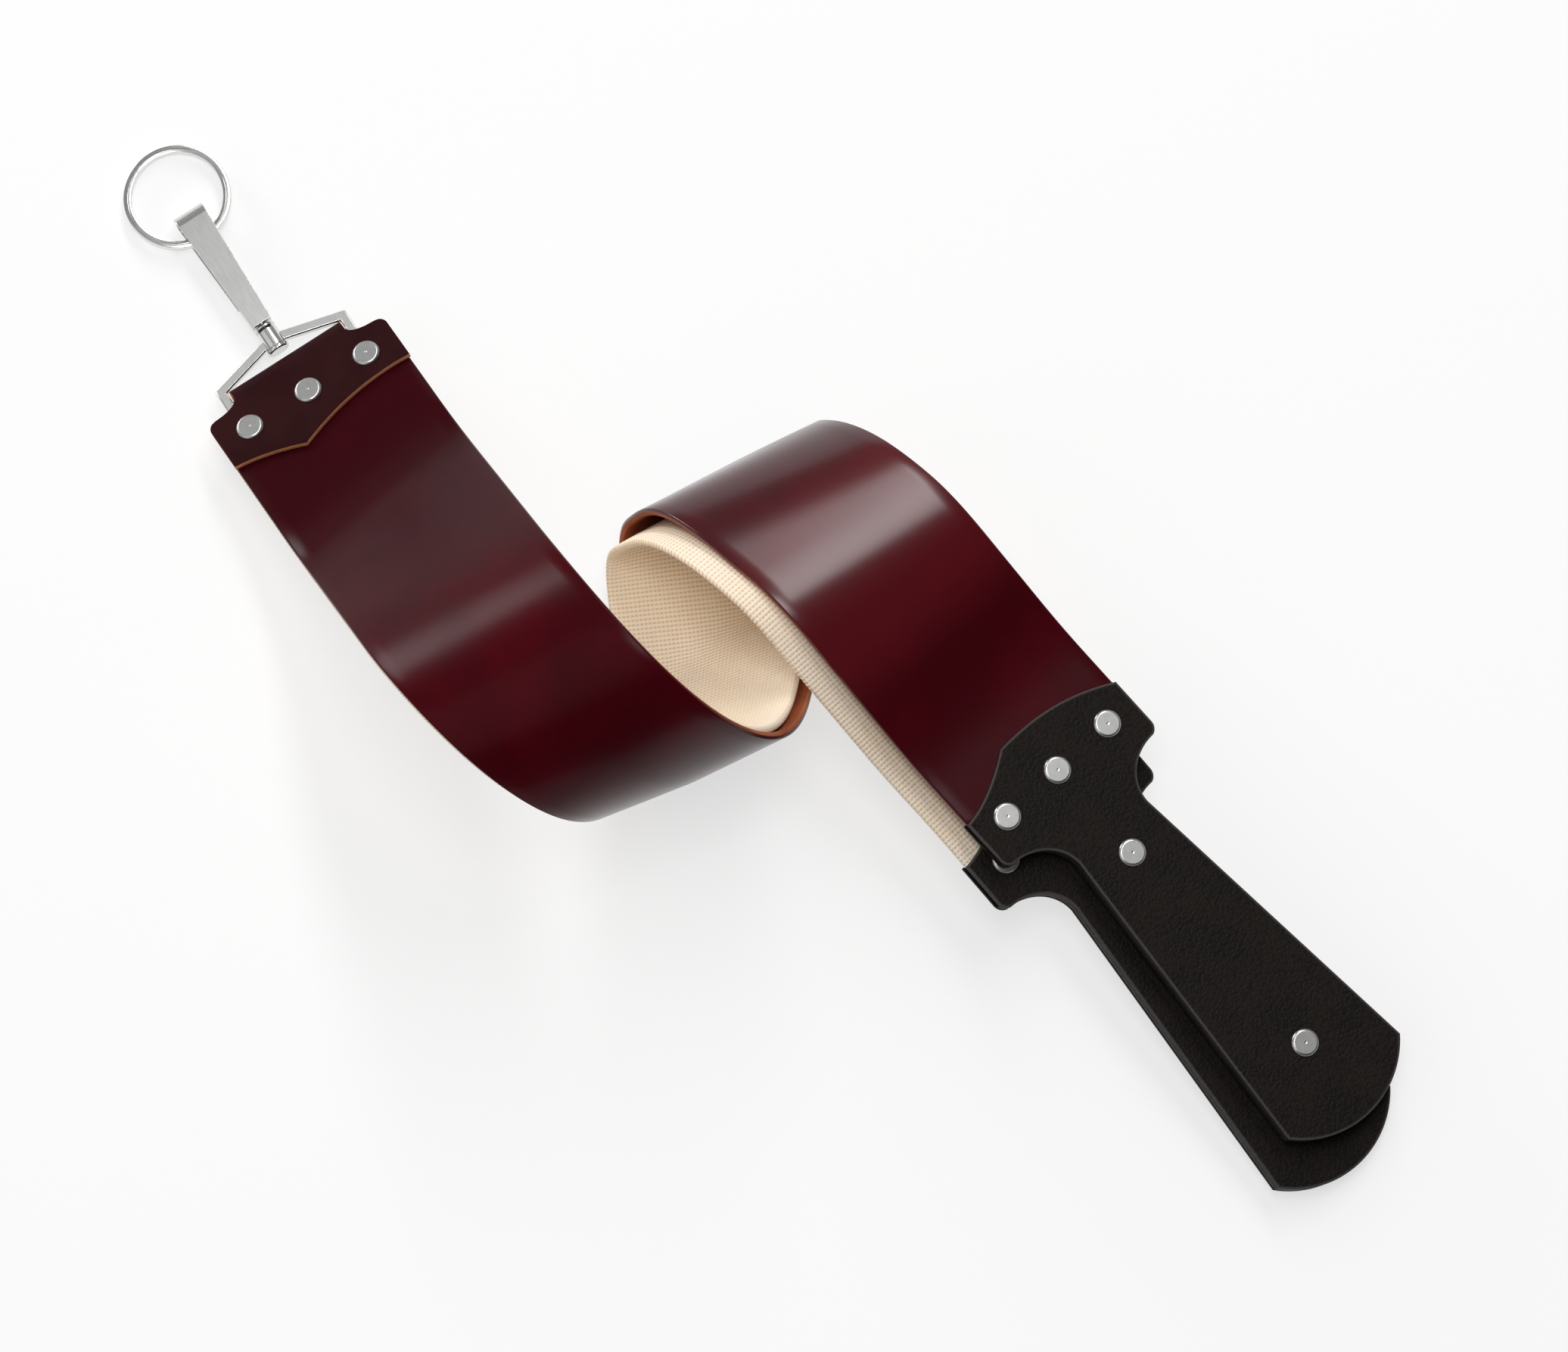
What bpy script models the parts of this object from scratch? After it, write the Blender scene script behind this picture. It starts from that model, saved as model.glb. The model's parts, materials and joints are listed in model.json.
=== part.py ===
"""Hanging strop: a leather strap and a linen strap on one swivel, lying coiled one turn.

Metres, +Z up. The strap leaves its end tab along +X. A point of a strap is given by
s along it from the dee's bar, t across it to the left, and w above its middle layer.
"""
from collections import namedtuple
from math import acos, atan2, ceil, cos, degrees, pi, radians, sin, sqrt, tan

import bmesh
import bpy
from mathutils import Matrix, Vector

MM = 0.001
GAP = 0.3 * MM

# Straps
STRAP_WIDTH = 63.5 * MM
LEATHER_THICK = 2.6 * MM
LINEN_THICK = 2.8 * MM
TAB_ROW = 12.0 * MM
RETURN_RUN = 1.1 * (STRAP_WIDTH - 46.3 * MM)
LEATHER_ROW = 525.3 * MM + RETURN_RUN
LAYER_SLACK = 0.7 * MM
HANDLE_SLACK = 2.4 * MM
LINEN_SHORTER = 11.0 * MM
LINEN_STEER = -2.3
STRAP_TAIL = 9.0 * MM
FACET_TURN = 6.0
STRAP_COLUMNS = 4

# How the leather strap lies: each bend turns about a line across the strap, skewed by an angle
TAB_HEIGHT = 11.6 * MM
TAB_PITCH = 21.2
Bend = namedtuple("Bend", "start skew length turn inset", defaults=(0.0,))
LEATHER_BENDS = {
    "lead": Bend(37.0 * MM, -9.0, 37.0 * MM, 29.1),
    "front": Bend(104.3 * MM, 14.1, 195.0 * MM, -181.6),
    "foot": Bend(325.0 * MM, 32.2, 17.7 * MM, -51.9),
    "back": Bend(359.0 * MM, 21.3, 34.0 * MM, -118.9),
    "over": Bend(395.5 * MM + RETURN_RUN, 10.5, 59.0 * MM, -76.7),
    "land": Bend(480.2 * MM + RETURN_RUN, 0.7, 28.6 * MM, 12.1),
}

# End tab, folded over the dee's bar
TAB_THICK = 1.8 * MM
FOLD_HALF = 20.0 * MM
SHOULDER_RISE = 8.5 * MM
SHOULDER_ROUND = 3.0 * MM
SCALLOP_EDGE = 10.5 * MM
SCALLOP_POINT = 17.5 * MM
SCALLOP_SAG = 3.0 * MM

# Rivets
RIVET_HEAD = 8.5 * MM
RIVET_FACE = 7.1 * MM
RIVET_RISE = 0.9 * MM
RIVET_SHANK = 2.8 * MM
RIVET_SIDES = 18
TAB_RIVET_PITCH = 21.0 * MM

# Handles
SCALE_THICK = 1.8 * MM
HEAD_RIVET_PITCH = 21.0 * MM
NECK_RIVET = 33.4 * MM
END_RIVET = 110.5 * MM
HEAD_EDGE = 7.5 * MM
HEAD_CROWN = 9.5 * MM
HEAD_FOOT = 12.0 * MM
HEAD_ROUND = 3.5 * MM
COVE_END = 25.2 * MM
NECK_HALF = 14.3 * MM
END_HALF = 23.7 * MM
END_EDGE = 128.2 * MM
END_CROWN = 11.0 * MM
SCALE_BEVEL = 0.4 * MM

# Dee, swivel and ring, along the swivel's axis from the dee's bar
CHAIN_PITCH = -4.5
DEE_BAR = 3.0 * MM
DEE_SHOULDER = 7.5 * MM
BOSS_DIAMETER = 6.8 * MM
BOSS_START = 9.3 * MM
BOSS_LENGTH = 5.9 * MM
PIN_HEAD = 7.2 * MM
PIN_HEAD_THICK = 1.2 * MM
PIN_SHANK = 2.6 * MM
PIN_SEAT = 5.0 * MM
COLLAR_DIAMETER = 7.0 * MM
COLLAR_LENGTH = 1.8 * MM
COLLAR_GROOVE = 0.5 * MM
EYE_LENGTH = 43.6 * MM
EYE_WIDE = 10.2 * MM
EYE_NARROW = 6.6 * MM
EYE_DEEP = 8.4 * MM
EYE_SHALLOW = 6.6 * MM
EYE_WALL = 1.7 * MM
EYE_BASE = 7.0 * MM
EYE_BEVEL = 0.35 * MM
RING_OUTER = 33.2 * MM
RING_RADIAL = 2.4 * MM
RING_THICK = 3.0 * MM
RING_BEVEL = 0.4 * MM
RING_SIDES = 48
RING_INSET = 9.8 * MM

COLOURS = {
    "strap_leather": ((0.045, 0.004, 0.007), 0.35, 0.0),
    "tab_leather": ((0.030, 0.006, 0.006), 0.45, 0.0),
    "linen": ((0.83, 0.71, 0.52), 0.9, 0.0),
    "handle_leather": ((0.013, 0.010, 0.009), 0.55, 0.0),
    "nickel": ((0.62, 0.61, 0.59), 0.25, 1.0),
}


# Materials, collections and objects

def make_material(name):
    colour, roughness, metallic = COLOURS[name]
    material = bpy.data.materials.new(name)
    material.use_nodes = True
    shader = material.node_tree.nodes["Principled BSDF"]
    shader.inputs["Base Color"].default_value = (*colour, 1.0)
    shader.inputs["Roughness"].default_value = roughness
    shader.inputs["Metallic"].default_value = metallic
    return material


def new_collection(name):
    collection = bpy.data.collections.new(name)
    bpy.context.scene.collection.children.link(collection)
    return collection


def add_object(name, data, parent, matrix, material=None):
    obj = bpy.data.objects.new(name, data)
    PARTS.objects.link(obj)
    obj.parent = parent
    obj.matrix_local = matrix
    if material is not None:
        data.materials.append(MATERIALS[material])
    return obj


def add_empty(name, parent, matrix):
    empty = bpy.data.objects.new(name, None)
    PARTS.objects.link(empty)
    empty.parent = parent
    empty.matrix_local = matrix
    return empty


def mesh_from(bm, name):
    mesh = bpy.data.meshes.new(name)
    bmesh.ops.recalc_face_normals(bm, faces=bm.faces)
    bm.to_mesh(mesh)
    bm.free()
    return mesh


def plate_mesh(name, loops, thickness):
    """A flat plate with the first loop as its outline and the others as holes, centred on z = 0."""
    curve = bpy.data.curves.new(name, "CURVE")
    curve.dimensions = "2D"
    curve.fill_mode = "BOTH"
    curve.extrude = thickness / 2
    for loop in loops:
        spline = curve.splines.new("POLY")
        spline.points.add(len(loop) - 1)
        spline.use_cyclic_u = True
        for point, (x, y) in zip(spline.points, loop):
            point.co = (x, y, 0.0, 1.0)
    holder = bpy.data.objects.new(name, curve)
    bpy.context.scene.collection.objects.link(holder)
    bpy.context.view_layer.update()
    evaluated = holder.evaluated_get(bpy.context.evaluated_depsgraph_get())
    mesh = bpy.data.meshes.new_from_object(evaluated)
    bpy.data.objects.remove(holder)
    bm = bmesh.new()
    bm.from_mesh(mesh)
    bmesh.ops.remove_doubles(bm, verts=bm.verts, dist=0.001 * MM)
    bpy.data.meshes.remove(mesh)
    return mesh_from(bm, name)


def turned_mesh(name, profile, closed=False):
    """Profile points of radius and height, turned about Z by the Screw modifier of the object."""
    bm = bmesh.new()
    verts = [bm.verts.new((radius, 0.0, height)) for radius, height in profile]
    for first, second in zip(verts, verts[1:]):
        bm.edges.new((first, second))
    if closed:
        bm.edges.new((verts[-1], verts[0]))
    mesh = bpy.data.meshes.new(name)
    bm.to_mesh(mesh)
    bm.free()
    return mesh


def add_screw(obj, sides):
    screw = obj.modifiers.new("turn", "SCREW")
    screw.steps = sides
    screw.render_steps = sides
    screw.use_merge_vertices = True
    screw.merge_threshold = 0.001 * MM
    screw.use_smooth_shade = False


def add_bevel(obj, width):
    bevel = obj.modifiers.new("edges", "BEVEL")
    bevel.width = width
    bevel.segments = 1
    bevel.limit_method = "ANGLE"
    bevel.angle_limit = radians(40)


def add_boolean(obj, cutter, operation="DIFFERENCE"):
    boolean = obj.modifiers.new(operation.lower(), "BOOLEAN")
    boolean.operation = operation
    boolean.object = cutter
    boolean.solver = "EXACT"


def add_cutter(name, mesh, parent, matrix):
    cutter = bpy.data.objects.new(name, mesh)
    CUTTERS.objects.link(cutter)
    cutter.parent = parent
    cutter.matrix_local = matrix
    cutter.hide_render = True
    cutter.display_type = "WIRE"
    return cutter


def rods_mesh(name, centres, radius, low, high, sides=RIVET_SIDES):
    """Upright cylinders, used as cutters."""
    bm = bmesh.new()
    for x, y in centres:
        place = Matrix.Translation((x, y, (low + high) / 2))
        bmesh.ops.create_cone(bm, cap_ends=True, segments=sides, radius1=radius, radius2=radius,
                              depth=high - low, matrix=place)
    return mesh_from(bm, name)


# Outlines

def arc(centre, radius, start, end, steps):
    """Points of a round arc, with its angles in degrees."""
    points = []
    for i in range(steps + 1):
        angle = radians(start + (end - start) * i / steps)
        points.append((centre[0] + radius * cos(angle), centre[1] + radius * sin(angle)))
    return points


def crown(half, rise, edge, steps):
    """Points of a shallow arc from +half to -half that rises past edge in the +x direction."""
    radius = (half * half + rise * rise) / (2 * rise)
    sweep = degrees(acos((radius - rise) / radius))
    return arc((edge + rise - radius, 0.0), radius, sweep, -sweep, steps)


def cove(x_outer, y_outer, x_inner, y_inner, steps):
    """A quarter ellipse, hollow towards the outside, from the outer point to the inner point."""
    points = []
    for i in range(steps + 1):
        angle = pi / 2 * i / steps
        x = x_inner - (x_inner - x_outer) * cos(angle)
        points.append((x, y_outer - (y_outer - y_inner) * sin(angle)))
    return points


def mirrored(points):
    return [(x, -y) for x, y in reversed(points)]


def handle_outline(start):
    """The handle seen on its face, x along the strap from the head rivets, cut off square at start."""
    head_half = STRAP_WIDTH / 2
    corner = arc((HEAD_FOOT - HEAD_ROUND, head_half - HEAD_ROUND), HEAD_ROUND, 90, 20, 4)
    side = corner + cove(corner[-1][0], corner[-1][1], COVE_END, NECK_HALF, 8)[1:]
    if start is None:
        head = crown(head_half, HEAD_CROWN, HEAD_EDGE, 14)
        head = [(-x, -y) for x, y in head]
    else:
        side = [(x, y) for x, y in side if x > start]
        slope_end = side[0]
        head = [(start, -slope_end[1]), (start, slope_end[1])]
    end = crown(END_HALF, END_CROWN, END_EDGE, 12)
    return head + side + end + mirrored(side)


# Straps as bent sheets

def smooth(x):
    return x * x * (3 - 2 * x)


def heading_at(bend, s):
    return radians(bend.turn) * smooth(s / bend.length)


def inner_length(bend):
    """Length of a bend on a sheet that lies under the outer one by the bend's inset."""
    return bend.length + bend.inset * radians(bend.turn)


def outer_distance(bend, distance):
    """How far the outer sheet has gone into a bend when the inner one has gone this far."""
    low, high = 0.0, bend.length
    for _ in range(40):
        middle = (low + high) / 2
        if middle + bend.inset * heading_at(bend, middle) < distance:
            low = middle
        else:
            high = middle
    return (low + high) / 2


def travel(bend, s):
    """How far a bend has gone forward and up when the outer sheet has gone s into it."""
    steps = 32
    forward = up = 0.0
    for i in range(steps):
        heading = heading_at(bend, s * (i + 0.5) / steps)
        forward += cos(heading) * s / steps
        up += sin(heading) * s / steps
    heading = heading_at(bend, s)
    return forward + bend.inset * sin(heading), up + bend.inset * (1 - cos(heading))


def bent(bend, s, t):
    """Place of a sheet's point, and the direction of its upper side, once this bend is made."""
    skew = radians(bend.skew)
    ahead = Vector((cos(skew), -sin(skew), 0.0))
    beside = Vector((sin(skew), cos(skew), 0.0))
    start = Vector((bend.start, 0.0, 0.0))
    offset = Vector((s, t, 0.0)) - start
    gone = outer_distance(bend, offset.dot(ahead))
    forward, up = travel(bend, gone)
    heading = heading_at(bend, gone)
    normal = Vector((0.0, 0.0, cos(heading))) - ahead * sin(heading)
    place = start + beside * offset.dot(beside) + ahead * forward + Vector((0.0, 0.0, up))
    return place, normal


def past(bend):
    """The rigid move of the sheet beyond a bend."""
    skew, turn = radians(bend.skew), radians(bend.turn)
    ahead = Vector((cos(skew), -sin(skew), 0.0))
    start = Vector((bend.start, 0.0, 0.0))
    forward, up = travel(bend, bend.length)
    tilt = Matrix.Rotation(-skew, 4, "Z") @ Matrix.Rotation(-turn, 4, "Y") @ Matrix.Rotation(skew, 4, "Z")
    landed = start + ahead * forward + Vector((0.0, 0.0, up))
    return Matrix.Translation(landed) @ tilt @ Matrix.Translation(-start - ahead * inner_length(bend))


def bend_end(bend):
    return bend.start + inner_length(bend) / cos(radians(bend.skew))


class Strap:
    """A flat strap with its bends made one after another."""

    def __init__(self, frame, bends):
        self.stations = []
        for bend in bends:
            self.stations.append((frame, bend))
            frame = frame @ past(bend)
        self.end_frame = frame

    def point(self, s, t, w=0.0):
        for frame, bend in self.stations:
            skew = radians(bend.skew)
            into = (s - bend.start) * cos(skew) - t * sin(skew)
            if into < 0.0:
                return frame @ Vector((s, t, w))
            if into <= inner_length(bend):
                place, normal = bent(bend, s, t)
                return frame @ (place + normal * w)
        return self.end_frame @ Vector((s, t, w))

    def lines(self, start, end):
        """Cross lines of the strap's mesh, as places on its middle and skews: they follow the bends."""
        lines = [(start, 0.0), (start + TAB_ROW, 0.0), (start + 2 * TAB_ROW, 0.0)]
        for _, bend in self.stations:
            steps = ceil(abs(bend.turn) / FACET_TURN)
            for i in range(steps + 1):
                lines.append((bend.start + (bend_end(bend) - bend.start) * i / steps, radians(bend.skew)))
        lines += [(end - 2 * STRAP_TAIL, 0.0), (end - STRAP_TAIL, 0.0), (end, 0.0)]
        return lines

    def mesh(self, name, start, end):
        lines = self.lines(start, end)
        bm = bmesh.new()
        bmesh.ops.create_grid(bm, x_segments=len(lines) - 1, y_segments=STRAP_COLUMNS, size=1.0)
        for vert in bm.verts:
            middle, skew = lines[round((vert.co.x + 1) / 2 * (len(lines) - 1))]
            t = vert.co.y * STRAP_WIDTH / 2
            vert.co = self.point(middle + t * tan(skew), t)
        mesh = bpy.data.meshes.new(name)
        bm.to_mesh(mesh)
        bm.free()
        return mesh


def inner_bends(bends, gap, spread):
    """The bends of a strap that lies under another at a gap, and spreads from it by the handles.

    Its last large bend steers it a little aside, so that its handle shows beside the upper one.
    """
    extra = {"over": -spread, "land": spread}
    steer = {"over": LINEN_STEER}
    moved = Vector((0.0, 0.0))
    inner = []
    for name, bend in bends.items():
        skew = radians(bend.skew)
        start = bend.start + moved.x - moved.y * tan(skew)
        inner.append(Bend(start, bend.skew + steer.get(name, 0.0), bend.length,
                          bend.turn + extra.get(name, 0.0), gap))
        moved += Vector((cos(skew), -sin(skew))) * gap * radians(bend.turn)
    return inner


def strap_below(outer, frame, gap, row, handle_gap):
    """A strap under another one, spread until the handle at its row lies far enough below."""
    lever = LEATHER_BENDS["land"].start - LEATHER_BENDS["over"].start
    spread = 0.0
    for _ in range(6):
        inner = Strap(frame, inner_bends(LEATHER_BENDS, gap, spread))
        place = outer.end_frame.inverted() @ inner.end_frame @ Vector((row, 0.0, 0.0))
        spread += degrees((handle_gap + place.z) / lever)
    return inner


def strap_object(name, strap, start, end, thickness, material, cutters):
    obj = add_object(name, strap.mesh(name, start, end), ROOT, Matrix.Identity(4), material)
    solidify = obj.modifiers.new("thickness", "SOLIDIFY")
    solidify.thickness = thickness
    solidify.offset = 0.0
    solidify.use_even_offset = True
    for cutter in cutters:
        add_boolean(obj, cutter)
    return obj


# Rivets

def post_mesh(name, stack):
    head, face, shank = RIVET_HEAD / 2, RIVET_FACE / 2, RIVET_SHANK / 2
    edge = (head - face) * 0.6
    low = -stack - RIVET_RISE / 2
    return turned_mesh(name, [(0.0, RIVET_RISE), (face, RIVET_RISE), (head, RIVET_RISE - edge), (head, 0.0),
                              (shank, 0.0), (shank, low), (0.0, low)])


def cap_mesh(name):
    head, face = RIVET_HEAD / 2, RIVET_FACE / 2
    edge = (head - face) * 0.6
    socket = RIVET_SHANK / 2 + GAP
    roof = -RIVET_RISE / 2 - GAP / 2
    return turned_mesh(name, [(0.0, roof), (socket, roof), (socket, 0.0), (head, 0.0),
                              (head, edge - RIVET_RISE), (face, -RIVET_RISE), (0.0, -RIVET_RISE)])


def rivets(prefix, frame, places, top, bottom):
    """A post from above and a cap from below at each place, on faces at heights top and bottom."""
    for number, (s, t) in enumerate(places, 1):
        name = f"{prefix}_rivet_{number}"
        post = add_object(f"{name}_post", post_mesh(name, top - bottom + GAP), ROOT,
                          frame @ Matrix.Translation((s, t, top + GAP)), "nickel")
        add_screw(post, RIVET_SIDES)
        cap = add_object(f"{name}_cap", cap_mesh(name), ROOT,
                         frame @ Matrix.Translation((s, t, bottom - GAP)), "nickel")
        add_screw(cap, RIVET_SIDES)


def rivet_holes(name, frame, places, top, bottom):
    mesh = rods_mesh(name, places, RIVET_SHANK / 2 + GAP, bottom - RIVET_HEAD, top + RIVET_HEAD)
    return add_cutter(name, mesh, ROOT, frame)


# Handles

def handle(prefix, frame, row, thickness, holes):
    """Two shaped scales on the faces of a strap's end, and a filler as thick as the strap past it."""
    height = thickness / 2 + GAP + SCALE_THICK / 2
    for side, sign in (("front", 1), ("back", -1)):
        name = f"{prefix}_handle_{side}"
        mesh = plate_mesh(name, [handle_outline(None)], SCALE_THICK)
        place = frame @ Matrix.Translation((row, 0.0, sign * height))
        scale = add_object(name, mesh, ROOT, place, "handle_leather")
        add_bevel(scale, SCALE_BEVEL)
        add_boolean(scale, holes)
    name = f"{prefix}_handle_core"
    mesh = plate_mesh(name, [handle_outline(STRAP_TAIL + GAP)], thickness)
    core = add_object(name, mesh, ROOT, frame @ Matrix.Translation((row, 0.0, 0.0)), "handle_leather")
    add_boolean(core, holes)


def handle_rivet_places(row):
    head = [(row, (i - 1) * HEAD_RIVET_PITCH) for i in range(3)]
    return head + [(row + NECK_RIVET, 0.0), (row + END_RIVET, 0.0)]


# End tab

def tab_half_width(u):
    """Half the tab's width at a distance along its sheet past the fold."""
    shoulder = TAB_ROW - SHOULDER_RISE
    full = STRAP_WIDTH / 2
    if u >= shoulder + SHOULDER_ROUND:
        return full
    if u >= shoulder:
        x = 1 - (u - shoulder) / SHOULDER_ROUND
        return full - SHOULDER_ROUND * (1 - sqrt(1 - x * x))
    start = min(0.0, shoulder - SHOULDER_ROUND)
    x = max(0.0, min(1.0, (u - start) / (shoulder - start)))
    return FOLD_HALF + (full - SHOULDER_ROUND - FOLD_HALF) * (1 - sqrt(1 - x * x))


def tab_end(t):
    """Where the scalloped edge lies: two hollow arcs that meet in a point on the middle line."""
    x = 1 - abs(t) / (STRAP_WIDTH / 2)
    hollow = SCALLOP_SAG * 4 * x * (1 - x)
    return TAB_ROW + SCALLOP_EDGE + (SCALLOP_POINT - SCALLOP_EDGE) * x - hollow


def tab_mesh(radius):
    """A sheet folded round the bar: u runs from the back flap's edge over the fold to the front's."""
    quarter = pi / 2 * radius
    shoulder = TAB_ROW - SHOULDER_RISE
    start = min(0.0, shoulder - SHOULDER_ROUND)
    stops = [(0.0, -quarter + quarter * i / 5) for i in range(1, 5)]
    stops += [(0.0, start + (shoulder - start) * i / 6) for i in range(7)]
    stops += [(0.0, shoulder + SHOULDER_ROUND * i / 4) for i in range(1, 5)]
    stops += [(0.0, TAB_ROW)] + [(i / 4, TAB_ROW) for i in range(1, 5)]
    half = sorted(stops, key=lambda stop: (stop[0], stop[1]))
    lines = [(-1, stop) for stop in reversed(half)] + [(1, (0.0, -quarter))] + [(1, stop) for stop in half]
    columns = 20
    bm = bmesh.new()
    bmesh.ops.create_grid(bm, x_segments=len(lines) - 1, y_segments=columns, size=1.0)
    for vert in bm.verts:
        side, (share, u) = lines[round((vert.co.x + 1) / 2 * (len(lines) - 1))]
        t = vert.co.y * tab_half_width(u)
        u += share * (tab_end(t) - u)
        if u >= 0.0:
            vert.co = Vector((u, t, side * radius))
        else:
            angle = u / radius
            vert.co = Vector((sin(angle) * radius, t, side * cos(angle) * radius))
    mesh = bpy.data.meshes.new("end_tab")
    bm.to_mesh(mesh)
    bm.free()
    return mesh


# Dee, swivel and ring, with +X out along the swivel's axis and +Y across the strap

def along_axis(distance):
    """A frame whose Z runs out along the swivel's axis."""
    return Matrix.Translation((distance, 0.0, 0.0)) @ Matrix.Rotation(pi / 2, 4, "Y")


def dee_object(parent):
    leg_inner = FOLD_HALF + 2 * GAP
    leg_outer = leg_inner + DEE_BAR
    neck = BOSS_START + BOSS_LENGTH / 2
    slope = atan2(neck + DEE_BAR / 2 - DEE_SHOULDER, leg_outer)
    arm = DEE_BAR / cos(slope)
    outer = [(-DEE_BAR / 2, -leg_outer), (DEE_SHOULDER, -leg_outer), (neck + DEE_BAR / 2, 0.0),
             (DEE_SHOULDER, leg_outer), (-DEE_BAR / 2, leg_outer)]
    inner_shoulder = DEE_SHOULDER + DEE_BAR * tan(slope) - arm
    inner = [(DEE_BAR / 2, -leg_inner), (inner_shoulder, -leg_inner), (neck + DEE_BAR / 2 - arm, 0.0),
             (inner_shoulder, leg_inner), (DEE_BAR / 2, leg_inner)]
    mesh = plate_mesh("dee_loop", [outer, inner], DEE_BAR)
    dee = add_object("dee_loop", mesh, parent, Matrix.Identity(4), "nickel")
    add_bevel(dee, EYE_BEVEL)
    boss = rods_mesh("dee_boss", [(0.0, 0.0)], BOSS_DIAMETER / 2, 0.0, BOSS_LENGTH, 24)
    add_boolean(dee, add_cutter("dee_boss", boss, parent, along_axis(BOSS_START)), "UNION")
    bore = rods_mesh("dee_bore", [(0.0, 0.0)], PIN_SHANK / 2 + GAP, -BOSS_LENGTH, 2 * BOSS_LENGTH, 24)
    add_boolean(dee, add_cutter("dee_bore", bore, parent, along_axis(BOSS_START)))


def pin_object(parent):
    head, shank = PIN_HEAD / 2, PIN_SHANK / 2
    top = BOSS_LENGTH + COLLAR_LENGTH + 3 * GAP + PIN_SEAT
    profile = [(0.0, top), (shank, top), (shank, 0.0), (head, 0.0), (head, -PIN_HEAD_THICK + EYE_BEVEL),
               (head - EYE_BEVEL, -PIN_HEAD_THICK), (0.0, -PIN_HEAD_THICK)]
    mesh = turned_mesh("swivel_pin", profile)
    pin = add_object("swivel_pin", mesh, parent, along_axis(BOSS_START - GAP), "nickel")
    add_screw(pin, 24)


def collar_object(parent, start):
    radius, bore = COLLAR_DIAMETER / 2, PIN_SHANK / 2 + GAP
    third = COLLAR_LENGTH / 3
    groove = radius - COLLAR_GROOVE
    profile = [(bore, COLLAR_LENGTH), (radius, COLLAR_LENGTH), (radius, 2 * third), (groove, 2 * third),
               (groove, third), (radius, third), (radius, 0.0), (bore, 0.0)]
    mesh = turned_mesh("swivel_collar", profile, closed=True)
    collar = add_object("swivel_collar", mesh, parent, along_axis(start), "nickel")
    add_screw(collar, 24)


def eye_object(parent, start):
    """A tapered strap bent to a U: its side view with the slot, cut to its tapered front view."""
    end = start + EYE_LENGTH
    deep, shallow = EYE_DEEP / 2, EYE_SHALLOW / 2
    turn = end - deep
    outer = [(start, shallow)] + arc((turn, 0.0), deep, 90, -90, 12) + [(start, -shallow)]
    slot = start + EYE_BASE
    slot_deep = deep - EYE_WALL
    slot_root = shallow - EYE_WALL
    inner = arc((slot + slot_root, 0.0), slot_root, 270, 90, 6)
    inner += arc((turn, 0.0), slot_deep, 90, -90, 10)
    side = Matrix.Rotation(pi / 2, 4, "X")
    eye = add_object("swivel_eye", plate_mesh("swivel_eye", [outer, inner], EYE_WIDE), parent, side, "nickel")
    narrow, wide = EYE_NARROW / 2, EYE_WIDE / 2
    front = [(start - GAP, -narrow), (end + GAP, -wide), (end + GAP, wide), (start - GAP, narrow)]
    taper = plate_mesh("eye_taper", [front], 2 * EYE_DEEP)
    add_boolean(eye, add_cutter("eye_taper", taper, parent, Matrix.Identity(4)), "INTERSECT")
    bore = rods_mesh("eye_bore", [(0.0, 0.0)], PIN_SHANK / 2 + GAP, -PIN_SEAT, PIN_SEAT + GAP, 24)
    add_boolean(eye, add_cutter("eye_bore", bore, parent, along_axis(start)))


def ring_object(parent):
    """A plain ring of flat section, hung on the end of its pivot's frame."""
    outer, inner = RING_OUTER / 2, RING_OUTER / 2 - RING_RADIAL
    high, cut = RING_THICK / 2, RING_BEVEL
    profile = [(inner + cut, high), (outer - cut, high), (outer, high - cut), (outer, cut - high),
               (outer - cut, -high), (inner + cut, -high), (inner, cut - high), (inner, high - cut)]
    mesh = turned_mesh("hang_ring", profile, closed=True)
    centre = RING_OUTER / 2 - RING_RADIAL / 2
    ring = add_object("hang_ring", mesh, parent, Matrix.Translation((centre, 0.0, 0.0)), "nickel")
    add_screw(ring, RING_SIDES)


def settle(root):
    """Move the whole object so that its box stands on z = 0, centred on the origin."""
    bpy.context.view_layer.update()
    depsgraph = bpy.context.evaluated_depsgraph_get()
    corners = []
    for obj in PARTS.objects:
        if obj.type != "MESH":
            continue
        mesh = obj.evaluated_get(depsgraph).to_mesh()
        corners += [obj.matrix_world @ vert.co for vert in mesh.vertices]
        obj.evaluated_get(depsgraph).to_mesh_clear()
    low = [min(corner[i] for corner in corners) for i in range(3)]
    high = [max(corner[i] for corner in corners) for i in range(3)]
    root.location = (-(low[0] + high[0]) / 2, -(low[1] + high[1]) / 2, -low[2])
    bpy.context.view_layer.update()


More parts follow.
